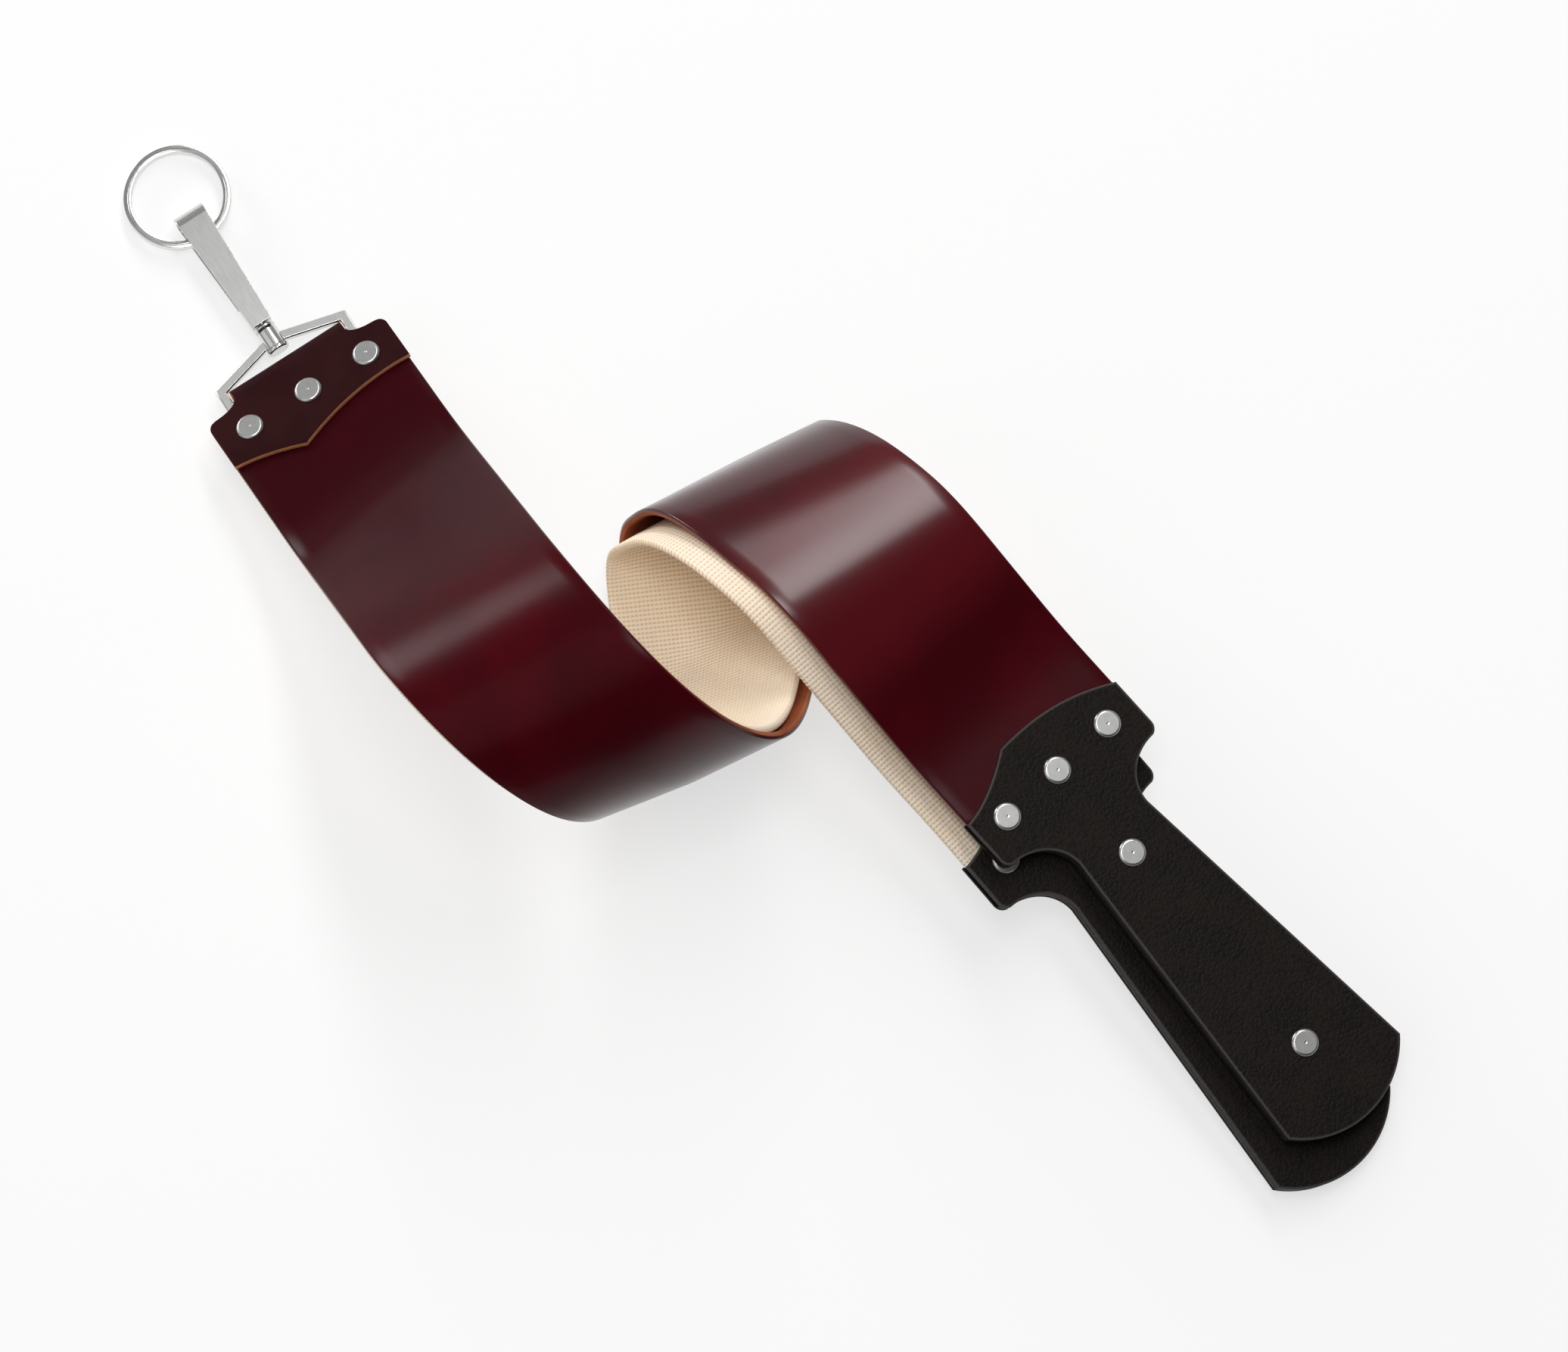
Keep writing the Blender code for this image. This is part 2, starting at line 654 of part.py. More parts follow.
def build():
    tab_frame = Matrix.Translation((0.0, 0.0, TAB_HEIGHT)) @ Matrix.Rotation(radians(-TAB_PITCH), 4, "Y")
    leather = Strap(tab_frame, LEATHER_BENDS.values())

    # The layers between the tab's flaps: leather on top, linen below it
    layer_gap = (LEATHER_THICK + LINEN_THICK) / 2 + LAYER_SLACK
    handle_gap = (LEATHER_THICK + LINEN_THICK) / 2 + 2 * (SCALE_THICK + RIVET_RISE) + HANDLE_SLACK
    linen_row = LEATHER_ROW - LINEN_SHORTER
    linen_frame = tab_frame @ Matrix.Translation((0.0, 0.0, -layer_gap))
    linen = strap_below(leather, linen_frame, layer_gap, linen_row, handle_gap)

    flap_top = LEATHER_THICK / 2 + GAP
    flap_bottom = -layer_gap - LINEN_THICK / 2 - GAP
    fold_radius = (flap_top - flap_bottom + TAB_THICK) / 2
    fold_middle = tab_frame @ Matrix.Translation((0.0, 0.0, (flap_top + flap_bottom) / 2))
    tab_places = [(TAB_ROW, (i - 1) * TAB_RIVET_PITCH) for i in range(3)]
    tab_top, tab_bottom = flap_top + TAB_THICK, flap_bottom - TAB_THICK
    tab_holes = rivet_holes("tab_holes", tab_frame, tab_places, tab_top, tab_bottom)
    tab = add_object("end_tab", tab_mesh(fold_radius), ROOT, fold_middle, "tab_leather")
    solidify = tab.modifiers.new("thickness", "SOLIDIFY")
    solidify.thickness = TAB_THICK
    solidify.offset = 0.0
    add_boolean(tab, tab_holes)
    rivets("tab", tab_frame, tab_places, tab_top, tab_bottom)

    # The two straps and their handles
    strap_start = DEE_BAR / sqrt(2) + 2 * GAP
    for prefix, strap, row, thickness, material in (
            ("leather", leather, LEATHER_ROW, LEATHER_THICK, "strap_leather"),
            ("linen", linen, linen_row, LINEN_THICK, "linen")):
        places = handle_rivet_places(row)
        top = thickness / 2 + GAP + SCALE_THICK
        holes = rivet_holes(f"{prefix}_holes", strap.end_frame, places, top, -top)
        strap_object(f"{prefix}_strop", strap, strap_start, row + STRAP_TAIL, thickness, material,
                     (tab_holes, holes))
        handle(prefix, strap.end_frame, row, thickness, holes)
        rivets(prefix, strap.end_frame, places, top, -top)

    # The dee turns on its bar in the fold, the eye spins on the pin, the ring swings in the eye
    bar = fold_middle.to_translation()
    out = Matrix.Rotation(pi, 4, "Z") @ Matrix.Rotation(radians(-CHAIN_PITCH), 4, "Y")
    dee_hinge = add_empty("dee_hinge", ROOT, Matrix.Translation(bar) @ out)
    dee_object(dee_hinge)
    swivel = add_empty("swivel_axis", dee_hinge, Matrix.Identity(4))
    pin_object(swivel)
    collar_start = BOSS_START + BOSS_LENGTH + GAP
    eye_start = collar_start + COLLAR_LENGTH + GAP
    collar_object(swivel, collar_start)
    eye_object(swivel, eye_start)
    hang = eye_start + EYE_LENGTH - RING_INSET
    ring_object(add_empty("ring_pivot", swivel, Matrix.Translation((hang, 0.0, 0.0))))
    settle(ROOT)


for old in list(bpy.data.objects):
    bpy.data.objects.remove(old)
PARTS = new_collection("strop")
CUTTERS = new_collection("strop_cutters")
MATERIALS = {name: make_material(name) for name in COLOURS}
ROOT = add_empty("strop_root", None, Matrix.Identity(4))
build()
for joint in ("dee_hinge", "swivel_axis", "ring_pivot"):
    frame = bpy.data.objects[joint].matrix_world
    print(joint, *(round(value, 5) for value in (*frame.translation, *frame.col[0][:3])))
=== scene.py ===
import json
from math import acos, cos, degrees, pi, radians, sin, sqrt, tan

import bmesh
import bpy
import numpy as np
from mathutils import Matrix, Vector


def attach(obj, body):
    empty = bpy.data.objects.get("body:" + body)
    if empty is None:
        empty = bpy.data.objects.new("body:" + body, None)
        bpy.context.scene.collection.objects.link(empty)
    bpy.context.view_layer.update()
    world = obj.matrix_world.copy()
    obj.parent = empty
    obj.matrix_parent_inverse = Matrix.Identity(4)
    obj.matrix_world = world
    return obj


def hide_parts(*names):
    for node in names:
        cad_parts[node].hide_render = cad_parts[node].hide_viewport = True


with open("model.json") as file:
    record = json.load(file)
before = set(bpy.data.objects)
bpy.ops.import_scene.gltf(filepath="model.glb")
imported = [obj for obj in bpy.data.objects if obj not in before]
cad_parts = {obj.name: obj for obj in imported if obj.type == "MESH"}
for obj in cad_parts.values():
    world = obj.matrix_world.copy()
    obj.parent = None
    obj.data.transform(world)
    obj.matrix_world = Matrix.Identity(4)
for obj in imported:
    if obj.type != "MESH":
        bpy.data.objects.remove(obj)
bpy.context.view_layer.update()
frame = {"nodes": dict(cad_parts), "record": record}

mm = 0.001
gap = 0.3 * mm
touching = 0.001 * mm    # points closer than this are one
jointPlace = {joint["name"]: Vector(joint["pos_m"]) for joint in frame["record"]["behaviour"]["joints"]}

# how the straps lie: start, skew, length and turn of each bend, made one after another
coil = {
    "strapWidth": 63.5 * mm,
    "leatherThick": 2.6 * mm,
    "linenThick": 2.8 * mm,
    "layerSlack": 0.7 * mm,
    "handleSlack": 2.4 * mm,
    "tabPitch": 21.2,
    "tabRow": 12.0 * mm,
    "leatherRow": 544.22 * mm,
    "linenShorter": 11.0 * mm,
    "linenSteer": -2.3,
    "tail": 9.0 * mm,
    "bendSteps": 400,
    "spreadRounds": 6,
    "barRadius": 3.0 * mm / sqrt(2),    # room for the dee's bar in the fold
    "tuck": 1.3 * mm,
    "tuckBefore": 6.0 * mm,    # ahead of the handle's rivets, as in the shift
    "tuckEase": 1.5 * mm,
    "shiftBefore": 110.0 * mm,
    "shiftEase": 96.0 * mm,
    "floorClear": 0.1 * mm,
    "pull": (8.6 * mm, 4.6 * mm, 3.2 * mm),    # left, middle and right
    "pullHeading": 146.8,
    "bends": (
        ("lead", 37.0 * mm, -9.0, 37.0 * mm, 29.1),
        ("front", 104.3 * mm, 14.1, 195.0 * mm, -181.6),
        ("foot", 325.0 * mm, 32.2, 17.7 * mm, -51.9),
        ("back", 359.0 * mm, 21.3, 34.0 * mm, -118.9),
        ("over", 414.42 * mm, 10.5, 59.0 * mm, -76.7),
        ("land", 499.12 * mm, 0.7, 28.6 * mm, 12.1),
    ),
}
halfWidth = coil["strapWidth"] / 2
layerGap = (coil["leatherThick"] + coil["linenThick"]) / 2 + coil["layerSlack"]

tab = {
    "thick": 1.8 * mm,
    "foldHalf": 20.0 * mm,
    "shoulderRise": 8.5 * mm,
    "shoulderRound": 3.0 * mm,
    "pointShare": 0.35,    # how far across the scallop's point sits
    "pointReach": 15.8 * mm,
    "leftReach": 9.3 * mm,
    "rightReach": 8.6 * mm,
    "leftSag": 1.0 * mm,
    "rightSag": 2.7 * mm,
    "backTuck": 1.2 * mm,
    "columns": 60,
    "steps": (8, 14, 8, 10),    # along the fold, the neck, the shoulder's round and the flap
    "bevel": 0.3 * mm,
}

rivet = {
    "head": 8.5 * mm,
    "face": 7.0 * mm,
    "rise": 0.9 * mm,
    "dimple": ((0.3 * mm, 0.04 * mm), (0.42 * mm, 0.0), (0.5 * mm, 0.0)),    # radius, and how far down
    "faceEdge": ((-0.1 * mm, 0.0), (0.0, 0.0), (0.25 * mm, 0.1 * mm)),    # out from the face, and down
    "side": ((0.15 * mm, 0.55), (0.0, 0.3), (0.0, 0.0)),    # in from the head, and share of the rise
    "sunk": (0.9, 0.2 * mm),    # share of the head, and how far down
    "sides": 48,
    "lift": 0.02 * mm,
    "tabPitch": 21.0 * mm,
}

handle = {
    "thick": 1.8 * mm,
    "rivetPitch": 21.0 * mm,
    "neckRivet": 33.4 * mm,
    "endRivet": 110.5 * mm,
    "archPeak": 16.3 * mm,
    "archPeakAt": -3.0 * mm,
    "archRight": 7.5 * mm,
    "archLeft": 6.2 * mm,
    "archKink": 15.6 * mm,
    "archKinkAt": -9.4 * mm,
    "archPower": 2.2,
    "kinkPower": 1.6,
    "headFoot": 12.0 * mm,
    "headRound": 3.5 * mm,
    "coveEnd": 25.2 * mm,
    "neckHalf": 14.3 * mm,
    "endHalf": 23.7 * mm,
    "endEdge": 128.2 * mm,
    "endCrown": 11.0 * mm,
    "edgeRound": 0.55 * mm,
    "lowerEdge": 0.2 * mm,
    "flatSteps": (0.35 * mm, 1.2 * mm),    # loops on the face, in from its rounded edge
    "coreEdge": 0.3 * mm,
    "coreInset": 0.1 * mm,
    # shares of the painted edge highlight on a handle's wall and on its core's edge
    "wallHighlight": 0.15,
    "coreHighlight": 0.1,
    "cornerEnd": 20,
    "edgeSteps": 5,
    "steps": (64, 8, 20, 32),    # across the head, round its corner, the cove and the end
}


# bends of a strap, as tables that numpy can look up

def makeBend(start, skew, length, turn, inset):
    s = np.linspace(0.0, length, coil["bendSteps"] + 1)
    x = s / length
    heading = radians(turn) * x * x * (3 - 2 * x)
    step = length / coil["bendSteps"]
    middle = (heading[1:] + heading[:-1]) / 2
    forward = np.concatenate([[0.0], np.cumsum(np.cos(middle)) * step]) + inset * np.sin(heading)
    up = np.concatenate([[0.0], np.cumsum(np.sin(middle)) * step]) + inset * (1 - np.cos(heading))
    return {"start": start, "skew": radians(skew), "turn": radians(turn), "gone": s + inset * heading,
            "heading": heading, "forward": forward, "up": up}


def pastBend(bend):
    ahead = Vector((cos(bend["skew"]), -sin(bend["skew"]), 0.0))
    start = Vector((bend["start"], 0.0, 0.0))
    landed = start + ahead * float(bend["forward"][-1]) + Vector((0.0, 0.0, float(bend["up"][-1])))
    tilt = (Matrix.Rotation(-bend["skew"], 4, "Z") @ Matrix.Rotation(-bend["turn"], 4, "Y")
            @ Matrix.Rotation(bend["skew"], 4, "Z"))
    return Matrix.Translation(landed) @ tilt @ Matrix.Translation(-start - ahead * float(bend["gone"][-1]))


def layStrap(startFrame, bends):
    stations = []
    for bend in bends:
        stations.append((startFrame, bend))
        startFrame = startFrame @ pastBend(bend)
    return {"stations": stations, "endFrame": startFrame}


def innerBends(inset, spread):
    moved = Vector((0.0, 0.0))
    bends = []
    for name, start, skew, length, turn in coil["bends"]:
        angle = radians(skew)
        shifted = start + moved.x - moved.y * tan(angle)
        steer = coil["linenSteer"] if name == "over" else 0.0
        extra = {"over": -spread, "land": spread}.get(name, 0.0) if inset else 0.0
        bends.append(makeBend(shifted, skew + (steer if inset else 0.0), length, turn + extra, inset))
        moved += Vector((cos(angle), -sin(angle))) * inset * radians(turn)
    return bends


def strapPoints(strap, s, t, w):
    # places of many points of a strap: s along, t across, w above its middle layer
    places = np.zeros((len(s), 3))
    left = np.ones(len(s), bool)

    def put(mask, matrix, local):
        m = np.array(matrix)
        places[mask] = local @ m[:3, :3].T + m[:3, 3]

    for matrix, bend in strap["stations"]:
        c, d = cos(bend["skew"]), sin(bend["skew"])
        into = (s - bend["start"]) * c - t * d
        before = left & (into < 0)
        put(before, matrix, np.stack([s, t, w], 1)[before])
        left &= ~before
        inside = left & (into <= bend["gone"][-1])
        g = into[inside]
        heading = np.interp(g, bend["gone"], bend["heading"])
        forward = np.interp(g, bend["gone"], bend["forward"]) - np.sin(heading) * w[inside]
        up = np.interp(g, bend["gone"], bend["up"]) + np.cos(heading) * w[inside]
        beside = (s[inside] - bend["start"]) * d + t[inside] * c
        local = [bend["start"] + d * beside + c * forward, c * beside - d * forward, up]
        put(inside, matrix, np.stack(local, 1))
        left &= ~inside
    put(left, strap["endFrame"], np.stack([s, t, w], 1)[left])
    return places


tabTilt = Matrix.Rotation(radians(-coil["tabPitch"]), 4, "Y")
flapTop = coil["leatherThick"] / 2 + gap
flapBottom = -layerGap - coil["linenThick"] / 2 - gap
foldMiddle = (flapTop + flapBottom) / 2
tabFrame = Matrix.Translation(jointPlace["dee_hinge"]) @ tabTilt @ Matrix.Translation((0.0, 0.0, -foldMiddle))
leather = layStrap(tabFrame, innerBends(0.0, 0.0))
linenRow = coil["leatherRow"] - coil["linenShorter"]
handleGap = (coil["leatherThick"] + coil["linenThick"]) / 2 + 2 * (handle["thick"] + rivet["rise"])
handleGap += coil["handleSlack"]
bendStart = {bend[0]: bend[1] for bend in coil["bends"]}
spread = 0.0
# the linen spreads from the leather until its handle lies clear below the upper one
for _ in range(coil["spreadRounds"]):
    linen = layStrap(tabFrame @ Matrix.Translation((0.0, 0.0, -layerGap)), innerBends(layerGap, spread))
    place = leather["endFrame"].inverted() @ linen["endFrame"] @ Vector((linenRow, 0.0, 0.0))
    spread += degrees((handleGap + place.z) / (bendStart["land"] - bendStart["over"]))
print("straps laid, spread", round(spread, 3))


# objects

def addObject(name, data):
    made = bpy.data.objects.new(name, data)
    bpy.context.scene.collection.objects.link(made)
    return made


def addPiece(mesh, material, body, nodes):
    piece = addObject(mesh.name, mesh)
    for each in material if isinstance(material, (list, tuple)) else [material]:
        if each.name not in mesh.materials:
            mesh.materials.append(each)
    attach(piece, body)
    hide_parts(*nodes)
    return piece


def smoothMesh(mesh, sharpAngle):
    mesh.shade_smooth()
    mesh.set_sharp_from_angle(angle=radians(sharpAngle))
    return mesh


def finishMesh(bm, name, sharpAngle):
    bmesh.ops.recalc_face_normals(bm, faces=bm.faces)
    mesh = bpy.data.meshes.new(name)
    bm.to_mesh(mesh)
    bm.free()
    return smoothMesh(mesh, sharpAngle)


def meshFromGrid(name, places, rows, columns, uv, layer):
    # a tube of rows closed round its columns, with flat ends
    mesh = bpy.data.meshes.new(name)
    faces = []
    for i in range(rows - 1):
        for j in range(columns):
            k = (j + 1) % columns
            faces.append((i * columns + j, i * columns + k, (i + 1) * columns + k, (i + 1) * columns + j))
    faces.append(tuple(range(columns - 1, -1, -1)))
    faces.append(tuple((rows - 1) * columns + j for j in range(columns)))
    mesh.from_pydata(places.tolist(), [], faces)
    mesh.update()
    uvLayer = mesh.uv_layers.new(name="strapMap")
    index = np.zeros(len(mesh.loops), np.int32)
    mesh.loops.foreach_get("vertex_index", index)
    uvLayer.data.foreach_set("uv", uv[index].astype(np.float32).ravel())
    sheet = mesh.attributes.new("sheetSide", "FLOAT", "POINT")
    sheet.data.foreach_set("value", layer.astype(np.float32))
    bm = bmesh.new()
    bm.from_mesh(mesh)
    bmesh.ops.recalc_face_normals(bm, faces=bm.faces)
    bm.to_mesh(mesh)
    bm.free()
    return smoothMesh(mesh, sharpAngle=50)


# materials

midNoise = (0.3, 0.7)    # where most of a noise texture's values lie


def newMaterial(name, roughness, metallic=0.0, gloss=0.5):
    material = bpy.data.materials.new(name)
    material.use_nodes = True
    tree = material.node_tree
    shader = tree.nodes["Principled BSDF"]
    feedAll(tree, shader, {"Roughness": roughness, "Metallic": metallic, "Specular IOR Level": gloss})
    return material, tree, shader


def addNode(tree, kind, **values):
    node = tree.nodes.new(kind)
    for key, value in values.items():
        setattr(node, key, value)
    return node


def feed(tree, socket, value):
    # a number, a colour or another node's output
    if isinstance(value, (int, float)):
        socket.default_value = value
    elif isinstance(value, tuple):
        socket.default_value = (*value, 1.0)
    else:
        tree.links.new(value, socket)


def feedAll(tree, node, values):
    for key, value in values.items():
        feed(tree, node.inputs[key], value)


def calc(tree, operation, *values):
    node = addNode(tree, "ShaderNodeMath", operation=operation)
    for socket, value in zip(node.inputs, values):
        feed(tree, socket, value)
    return node.outputs[0]


def mixColour(tree, factor, a, b):
    node = addNode(tree, "ShaderNodeMix", data_type="RGBA")
    for socket, value in ((node.inputs[0], factor), (node.inputs[6], a), (node.inputs[7], b)):
        feed(tree, socket, value)
    return node.outputs[2]


def ramp(tree, value, low, high, start=0.0, end=1.0):
    node = addNode(tree, "ShaderNodeMapRange", interpolation_type="SMOOTHSTEP")
    feedAll(tree, node, {"Value": value, "From Min": low, "From Max": high, "To Min": start, "To Max": end})
    return node.outputs["Result"]


def noise(tree, vector, scale, detail=3.0, roughness=0.6):
    node = addNode(tree, "ShaderNodeTexNoise")
    feedAll(tree, node, {"Vector": vector, "Scale": scale, "Detail": detail, "Roughness": roughness})
    return node.outputs["Fac"]


def bump(tree, shader, height, distance, strength):
    node = addNode(tree, "ShaderNodeBump")
    feedAll(tree, node, {"Height": height, "Distance": distance, "Strength": strength})
    tree.links.new(node.outputs["Normal"], shader.inputs["Normal"])


def objectCoords(tree):
    return addNode(tree, "ShaderNodeTexCoord").outputs["Object"]


def attribute(tree, name, output="Fac"):
    return addNode(tree, "ShaderNodeAttribute", attribute_name=name).outputs[output]


def addSockets(tree, way, kinds):
    for name, kind in kinds.items():
        tree.interface.new_socket(name, in_out=way, socket_type="NodeSocket" + kind)


def makeGrainGroup():
    # leather grain: pebbles from cells, with soft mottling
    group = bpy.data.node_groups.new("leatherGrain", "ShaderNodeTree")
    addSockets(group, "INPUT", {"Vector": "Vector", "Pebbles": "Float", "Mottle Scale": "Float"})
    addSockets(group, "OUTPUT", {"Height": "Float", "Mottle": "Float"})
    entry = addNode(group, "NodeGroupInput")
    leave = addNode(group, "NodeGroupOutput")
    cells = addNode(group, "ShaderNodeTexVoronoi", feature="F1")
    feedAll(group, cells, {"Vector": entry.outputs["Vector"], "Scale": entry.outputs["Pebbles"]})
    fine = noise(group, entry.outputs["Vector"], entry.outputs["Pebbles"], 4.0, 0.5)
    wide = noise(group, entry.outputs["Vector"], entry.outputs["Mottle Scale"], 3.0, 0.5)
    height = calc(group, "SUBTRACT", fine, cells.outputs["Distance"])
    feedAll(group, leave, {"Height": height, "Mottle": wide})
    return group


grainGroup = makeGrainGroup()


def grain(tree, pebbles, mottleScale):
    node = addNode(tree, "ShaderNodeGroup", node_tree=grainGroup)
    feedAll(tree, node, {"Vector": objectCoords(tree), "Pebbles": pebbles, "Mottle Scale": mottleScale})
    return node.outputs["Height"], node.outputs["Mottle"]


def paint(tree, shader, base, roughness=None):
    tree.links.new(base, shader.inputs["Base Color"])
    if roughness is not None:
        tree.links.new(roughness, shader.inputs["Roughness"])


def strapPlace(tree):
    # metres along and across a strap, from its own map
    place = addNode(tree, "ShaderNodeSeparateXYZ")
    tree.links.new(addNode(tree, "ShaderNodeUVMap", uv_map="strapMap").outputs["UV"], place.inputs[0])
    return place.outputs[0], place.outputs[1]


def band(tree, along, begin, full, fade, gone, share):
    return calc(tree, "MULTIPLY", ramp(tree, along, begin, full), ramp(tree, along, fade, gone, share, 0.0))


def makeStrapLeather():
    look = {
        "deep": (0.042, 0.0010, 0.0034),
        "bright": (0.058, 0.0012, 0.0044),
        # painted shade: the colour the face takes towards the tab
        "paintedShade": (0.025, 0.0014, 0.0032),
        # painted highlight: the colour along the highlight band on the bend over the linen
        "paintedHighlight": (0.105, 0.006, 0.010),
        "cut": (0.44, 0.155, 0.076),
        "flesh": (0.24, 0.060, 0.025),
        "gloss": 0.085,
        "grain": (1400.0, 35.0),    # pebbles and mottling, to the metre
        "mottleOver": (0.35, 0.68),
        "faceOver": (0.05, 0.45),    # from the cut edge to the face, and to the flesh side
        "fleshOver": (-0.72, -0.9),
        "paintedShadeOver": (0.06, 0.17),    # metres along the strap, as in the next three
        "bentOver": (0.34, 0.38, 0.455, 0.50),
        "paintedHighlightOver": (0.422, 0.44, 0.475, 0.497),
        "frontOver": (0.205, 0.23, 0.28, 0.31),
        "paintedShadeShare": 0.7,
        "paintedHighlightShare": 0.65,
        "bentPolish": (0.8, 0.6),    # gained, then lost again
        "frontPolish": 0.4,
        "roughness": (0.72, 0.68),
        "faceSmoother": 0.45,
        "polishRoughness": 0.24,
        "bump": (0.00002, 0.25),
    }
    material, tree, shader = newMaterial("strapLeather", 0.36, gloss=look["gloss"])
    side = attribute(tree, "sheetSide")
    height, mottle = grain(tree, *look["grain"])
    along = strapPlace(tree)[0]
    face = mixColour(tree, ramp(tree, mottle, *look["mottleOver"]), look["deep"], look["bright"])
    paintedShade = ramp(tree, along, *look["paintedShadeOver"], look["paintedShadeShare"], 0.0)
    face = mixColour(tree, paintedShade, face, look["paintedShade"])    # painted shade: darker towards the tab
    paintedHighlight = band(tree, along, *look["paintedHighlightOver"], look["paintedHighlightShare"])
    face = mixColour(tree, paintedHighlight, face, look["paintedHighlight"])    # painted highlight: lighter and redder along the highlight band where it is bent over the linen
    cut = mixColour(tree, ramp(tree, mottle, *midNoise), look["cut"], look["flesh"])
    topMask = ramp(tree, side, *look["faceOver"])
    fleshMask = ramp(tree, side, *look["fleshOver"])
    base = mixColour(tree, topMask, mixColour(tree, fleshMask, cut, look["flesh"]), face)
    smoother = calc(tree, "MULTIPLY", topMask, look["faceSmoother"])
    roughness = calc(tree, "SUBTRACT", ramp(tree, mottle, *midNoise, *look["roughness"]), smoother)
    paint(tree, shader, base, roughness)
    begin, full, fade, gone = look["bentOver"]
    gained, lost = look["bentPolish"]
    bent = calc(tree, "SUBTRACT", ramp(tree, along, begin, full, 0.0, gained),
                ramp(tree, along, fade, gone, 0.0, lost))
    front = band(tree, along, *look["frontOver"], look["frontPolish"])
    burnish = calc(tree, "ADD", bent, front)    # polish worn in where the strap is bent
    tree.links.new(calc(tree, "MULTIPLY", burnish, topMask), shader.inputs["Coat Weight"])
    shader.inputs["Coat Roughness"].default_value = look["polishRoughness"]
    bump(tree, shader, height, *look["bump"])
    return material


def makeTabLeather():
    look = {
        "deep": (0.021, 0.0037, 0.0044),
        "bright": (0.027, 0.0049, 0.0056),
        "gloss": 0.05,
        "grain": (1400.0, 60.0),
        "roughness": (0.42, 0.5),
        "bump": (0.00005, 0.5),
    }
    material, tree, shader = newMaterial("tabLeather", 0.5, gloss=look["gloss"])
    height, mottle = grain(tree, *look["grain"])
    base = mixColour(tree, ramp(tree, mottle, *midNoise), look["deep"], look["bright"])
    paint(tree, shader, base, ramp(tree, mottle, *midNoise, *look["roughness"]))
    bump(tree, shader, height, *look["bump"])
    return material


def makeRawEdge():
    look = {
        "pale": (0.68, 0.29, 0.14),
        "brown": (0.50, 0.19, 0.085),
        "gloss": 0.2,
        "fibres": 1500.0,
        "bump": (0.0001, 0.5),
    }
    material, tree, shader = newMaterial("rawEdge", 0.8, gloss=look["gloss"])
    fibres = noise(tree, objectCoords(tree), look["fibres"], 4.0)
    paint(tree, shader, mixColour(tree, ramp(tree, fibres, *midNoise), look["pale"], look["brown"]))
    bump(tree, shader, fibres, *look["bump"])
    return material


def makeHandleLeather():
    look = {
        "deep": (0.0088, 0.0066, 0.0058),
        "bright": (0.0128, 0.0092, 0.0076),
        "between": (0.0040, 0.0032, 0.0030),    # in the dips of the grain
        # the colour of the painted highlight along the handle's rounded edges
        "rim": (0.13, 0.12, 0.115),
        "betweenShare": 0.5,
        "rimShare": 0.55,
        "gloss": 0.09,
        "grain": (1000.0, 90.0),
        "mottleOver": (0.35, 0.65),
        "dipsOver": (0.05, -0.25),
        "roughness": (0.46, 0.56),
        "bump": (0.00016, 0.7),
    }
    material, tree, shader = newMaterial("handleLeather", 0.5, gloss=look["gloss"])
    height, mottle = grain(tree, *look["grain"])
    rim = attribute(tree, "rimWear")
    base = mixColour(tree, ramp(tree, mottle, *look["mottleOver"]), look["deep"], look["bright"])
    dips = ramp(tree, height, *look["dipsOver"], 0.0, look["betweenShare"])
    base = mixColour(tree, dips, base, look["between"])
    # painted highlight along the rounded edges
    base = mixColour(tree, calc(tree, "MULTIPLY", rim, look["rimShare"]), base, look["rim"])
    paint(tree, shader, base, ramp(tree, mottle, *midNoise, *look["roughness"]))
    bump(tree, shader, height, *look["bump"])
    return material


weave = {
    "ribPitch": 1.4 * mm,
    "threadPitch": 1.3 * mm,
    "cream": (0.95, 0.815, 0.645),
    "pale": (0.965, 0.86, 0.73),
    "between": (0.62, 0.40, 0.19),    # painted shade where the threads cross
    "slub": (0.96, 0.87, 0.75),
    "betweenShare": 0.72,
    "slubShare": 0.3,
    "gloss": 0.15,
    "slubScale": 260.0,
    "warmthScale": 16.0,
    "slubOver": (0.45, 0.8),
    "warmthOver": (0.35, 0.65),
    "valleyPower": 4.0,
    "threadPower": 2.0,
    "leastCrossing": 0.3,
    "bump": (0.0001, 0.6),
}


def makeLinen():
    material, tree, shader = newMaterial("linenWeave", 0.92, gloss=weave["gloss"])
    along, across = strapPlace(tree)
    along = calc(tree, "MULTIPLY", along, pi / weave["ribPitch"])
    across = calc(tree, "MULTIPLY", across, pi / weave["threadPitch"])
    valley = calc(tree, "POWER", calc(tree, "ABSOLUTE", calc(tree, "COSINE", along)), weave["valleyPower"])
    thread = calc(tree, "POWER", calc(tree, "ABSOLUTE", calc(tree, "COSINE", across)), weave["threadPower"])
    crossingShade = calc(tree, "MULTIPLY", valley, ramp(tree, thread, 0.0, 1.0, weave["leastCrossing"]))
    slub = noise(tree, objectCoords(tree), weave["slubScale"], 4.0)
    warmth = noise(tree, objectCoords(tree), weave["warmthScale"], 2.0)
    base = mixColour(tree, ramp(tree, warmth, *weave["warmthOver"]), weave["cream"], weave["pale"])
    # painted shade in the weave's valleys
    base = mixColour(tree, calc(tree, "MULTIPLY", crossingShade, weave["betweenShare"]), base, weave["between"])
    slubs = ramp(tree, slub, *weave["slubOver"], 0.0, weave["slubShare"])
    base = mixColour(tree, slubs, base, weave["slub"])
    paint(tree, shader, base)
    bump(tree, shader, calc(tree, "SUBTRACT", slub, calc(tree, "ADD", thread, crossingShade)), *weave["bump"])
    return material


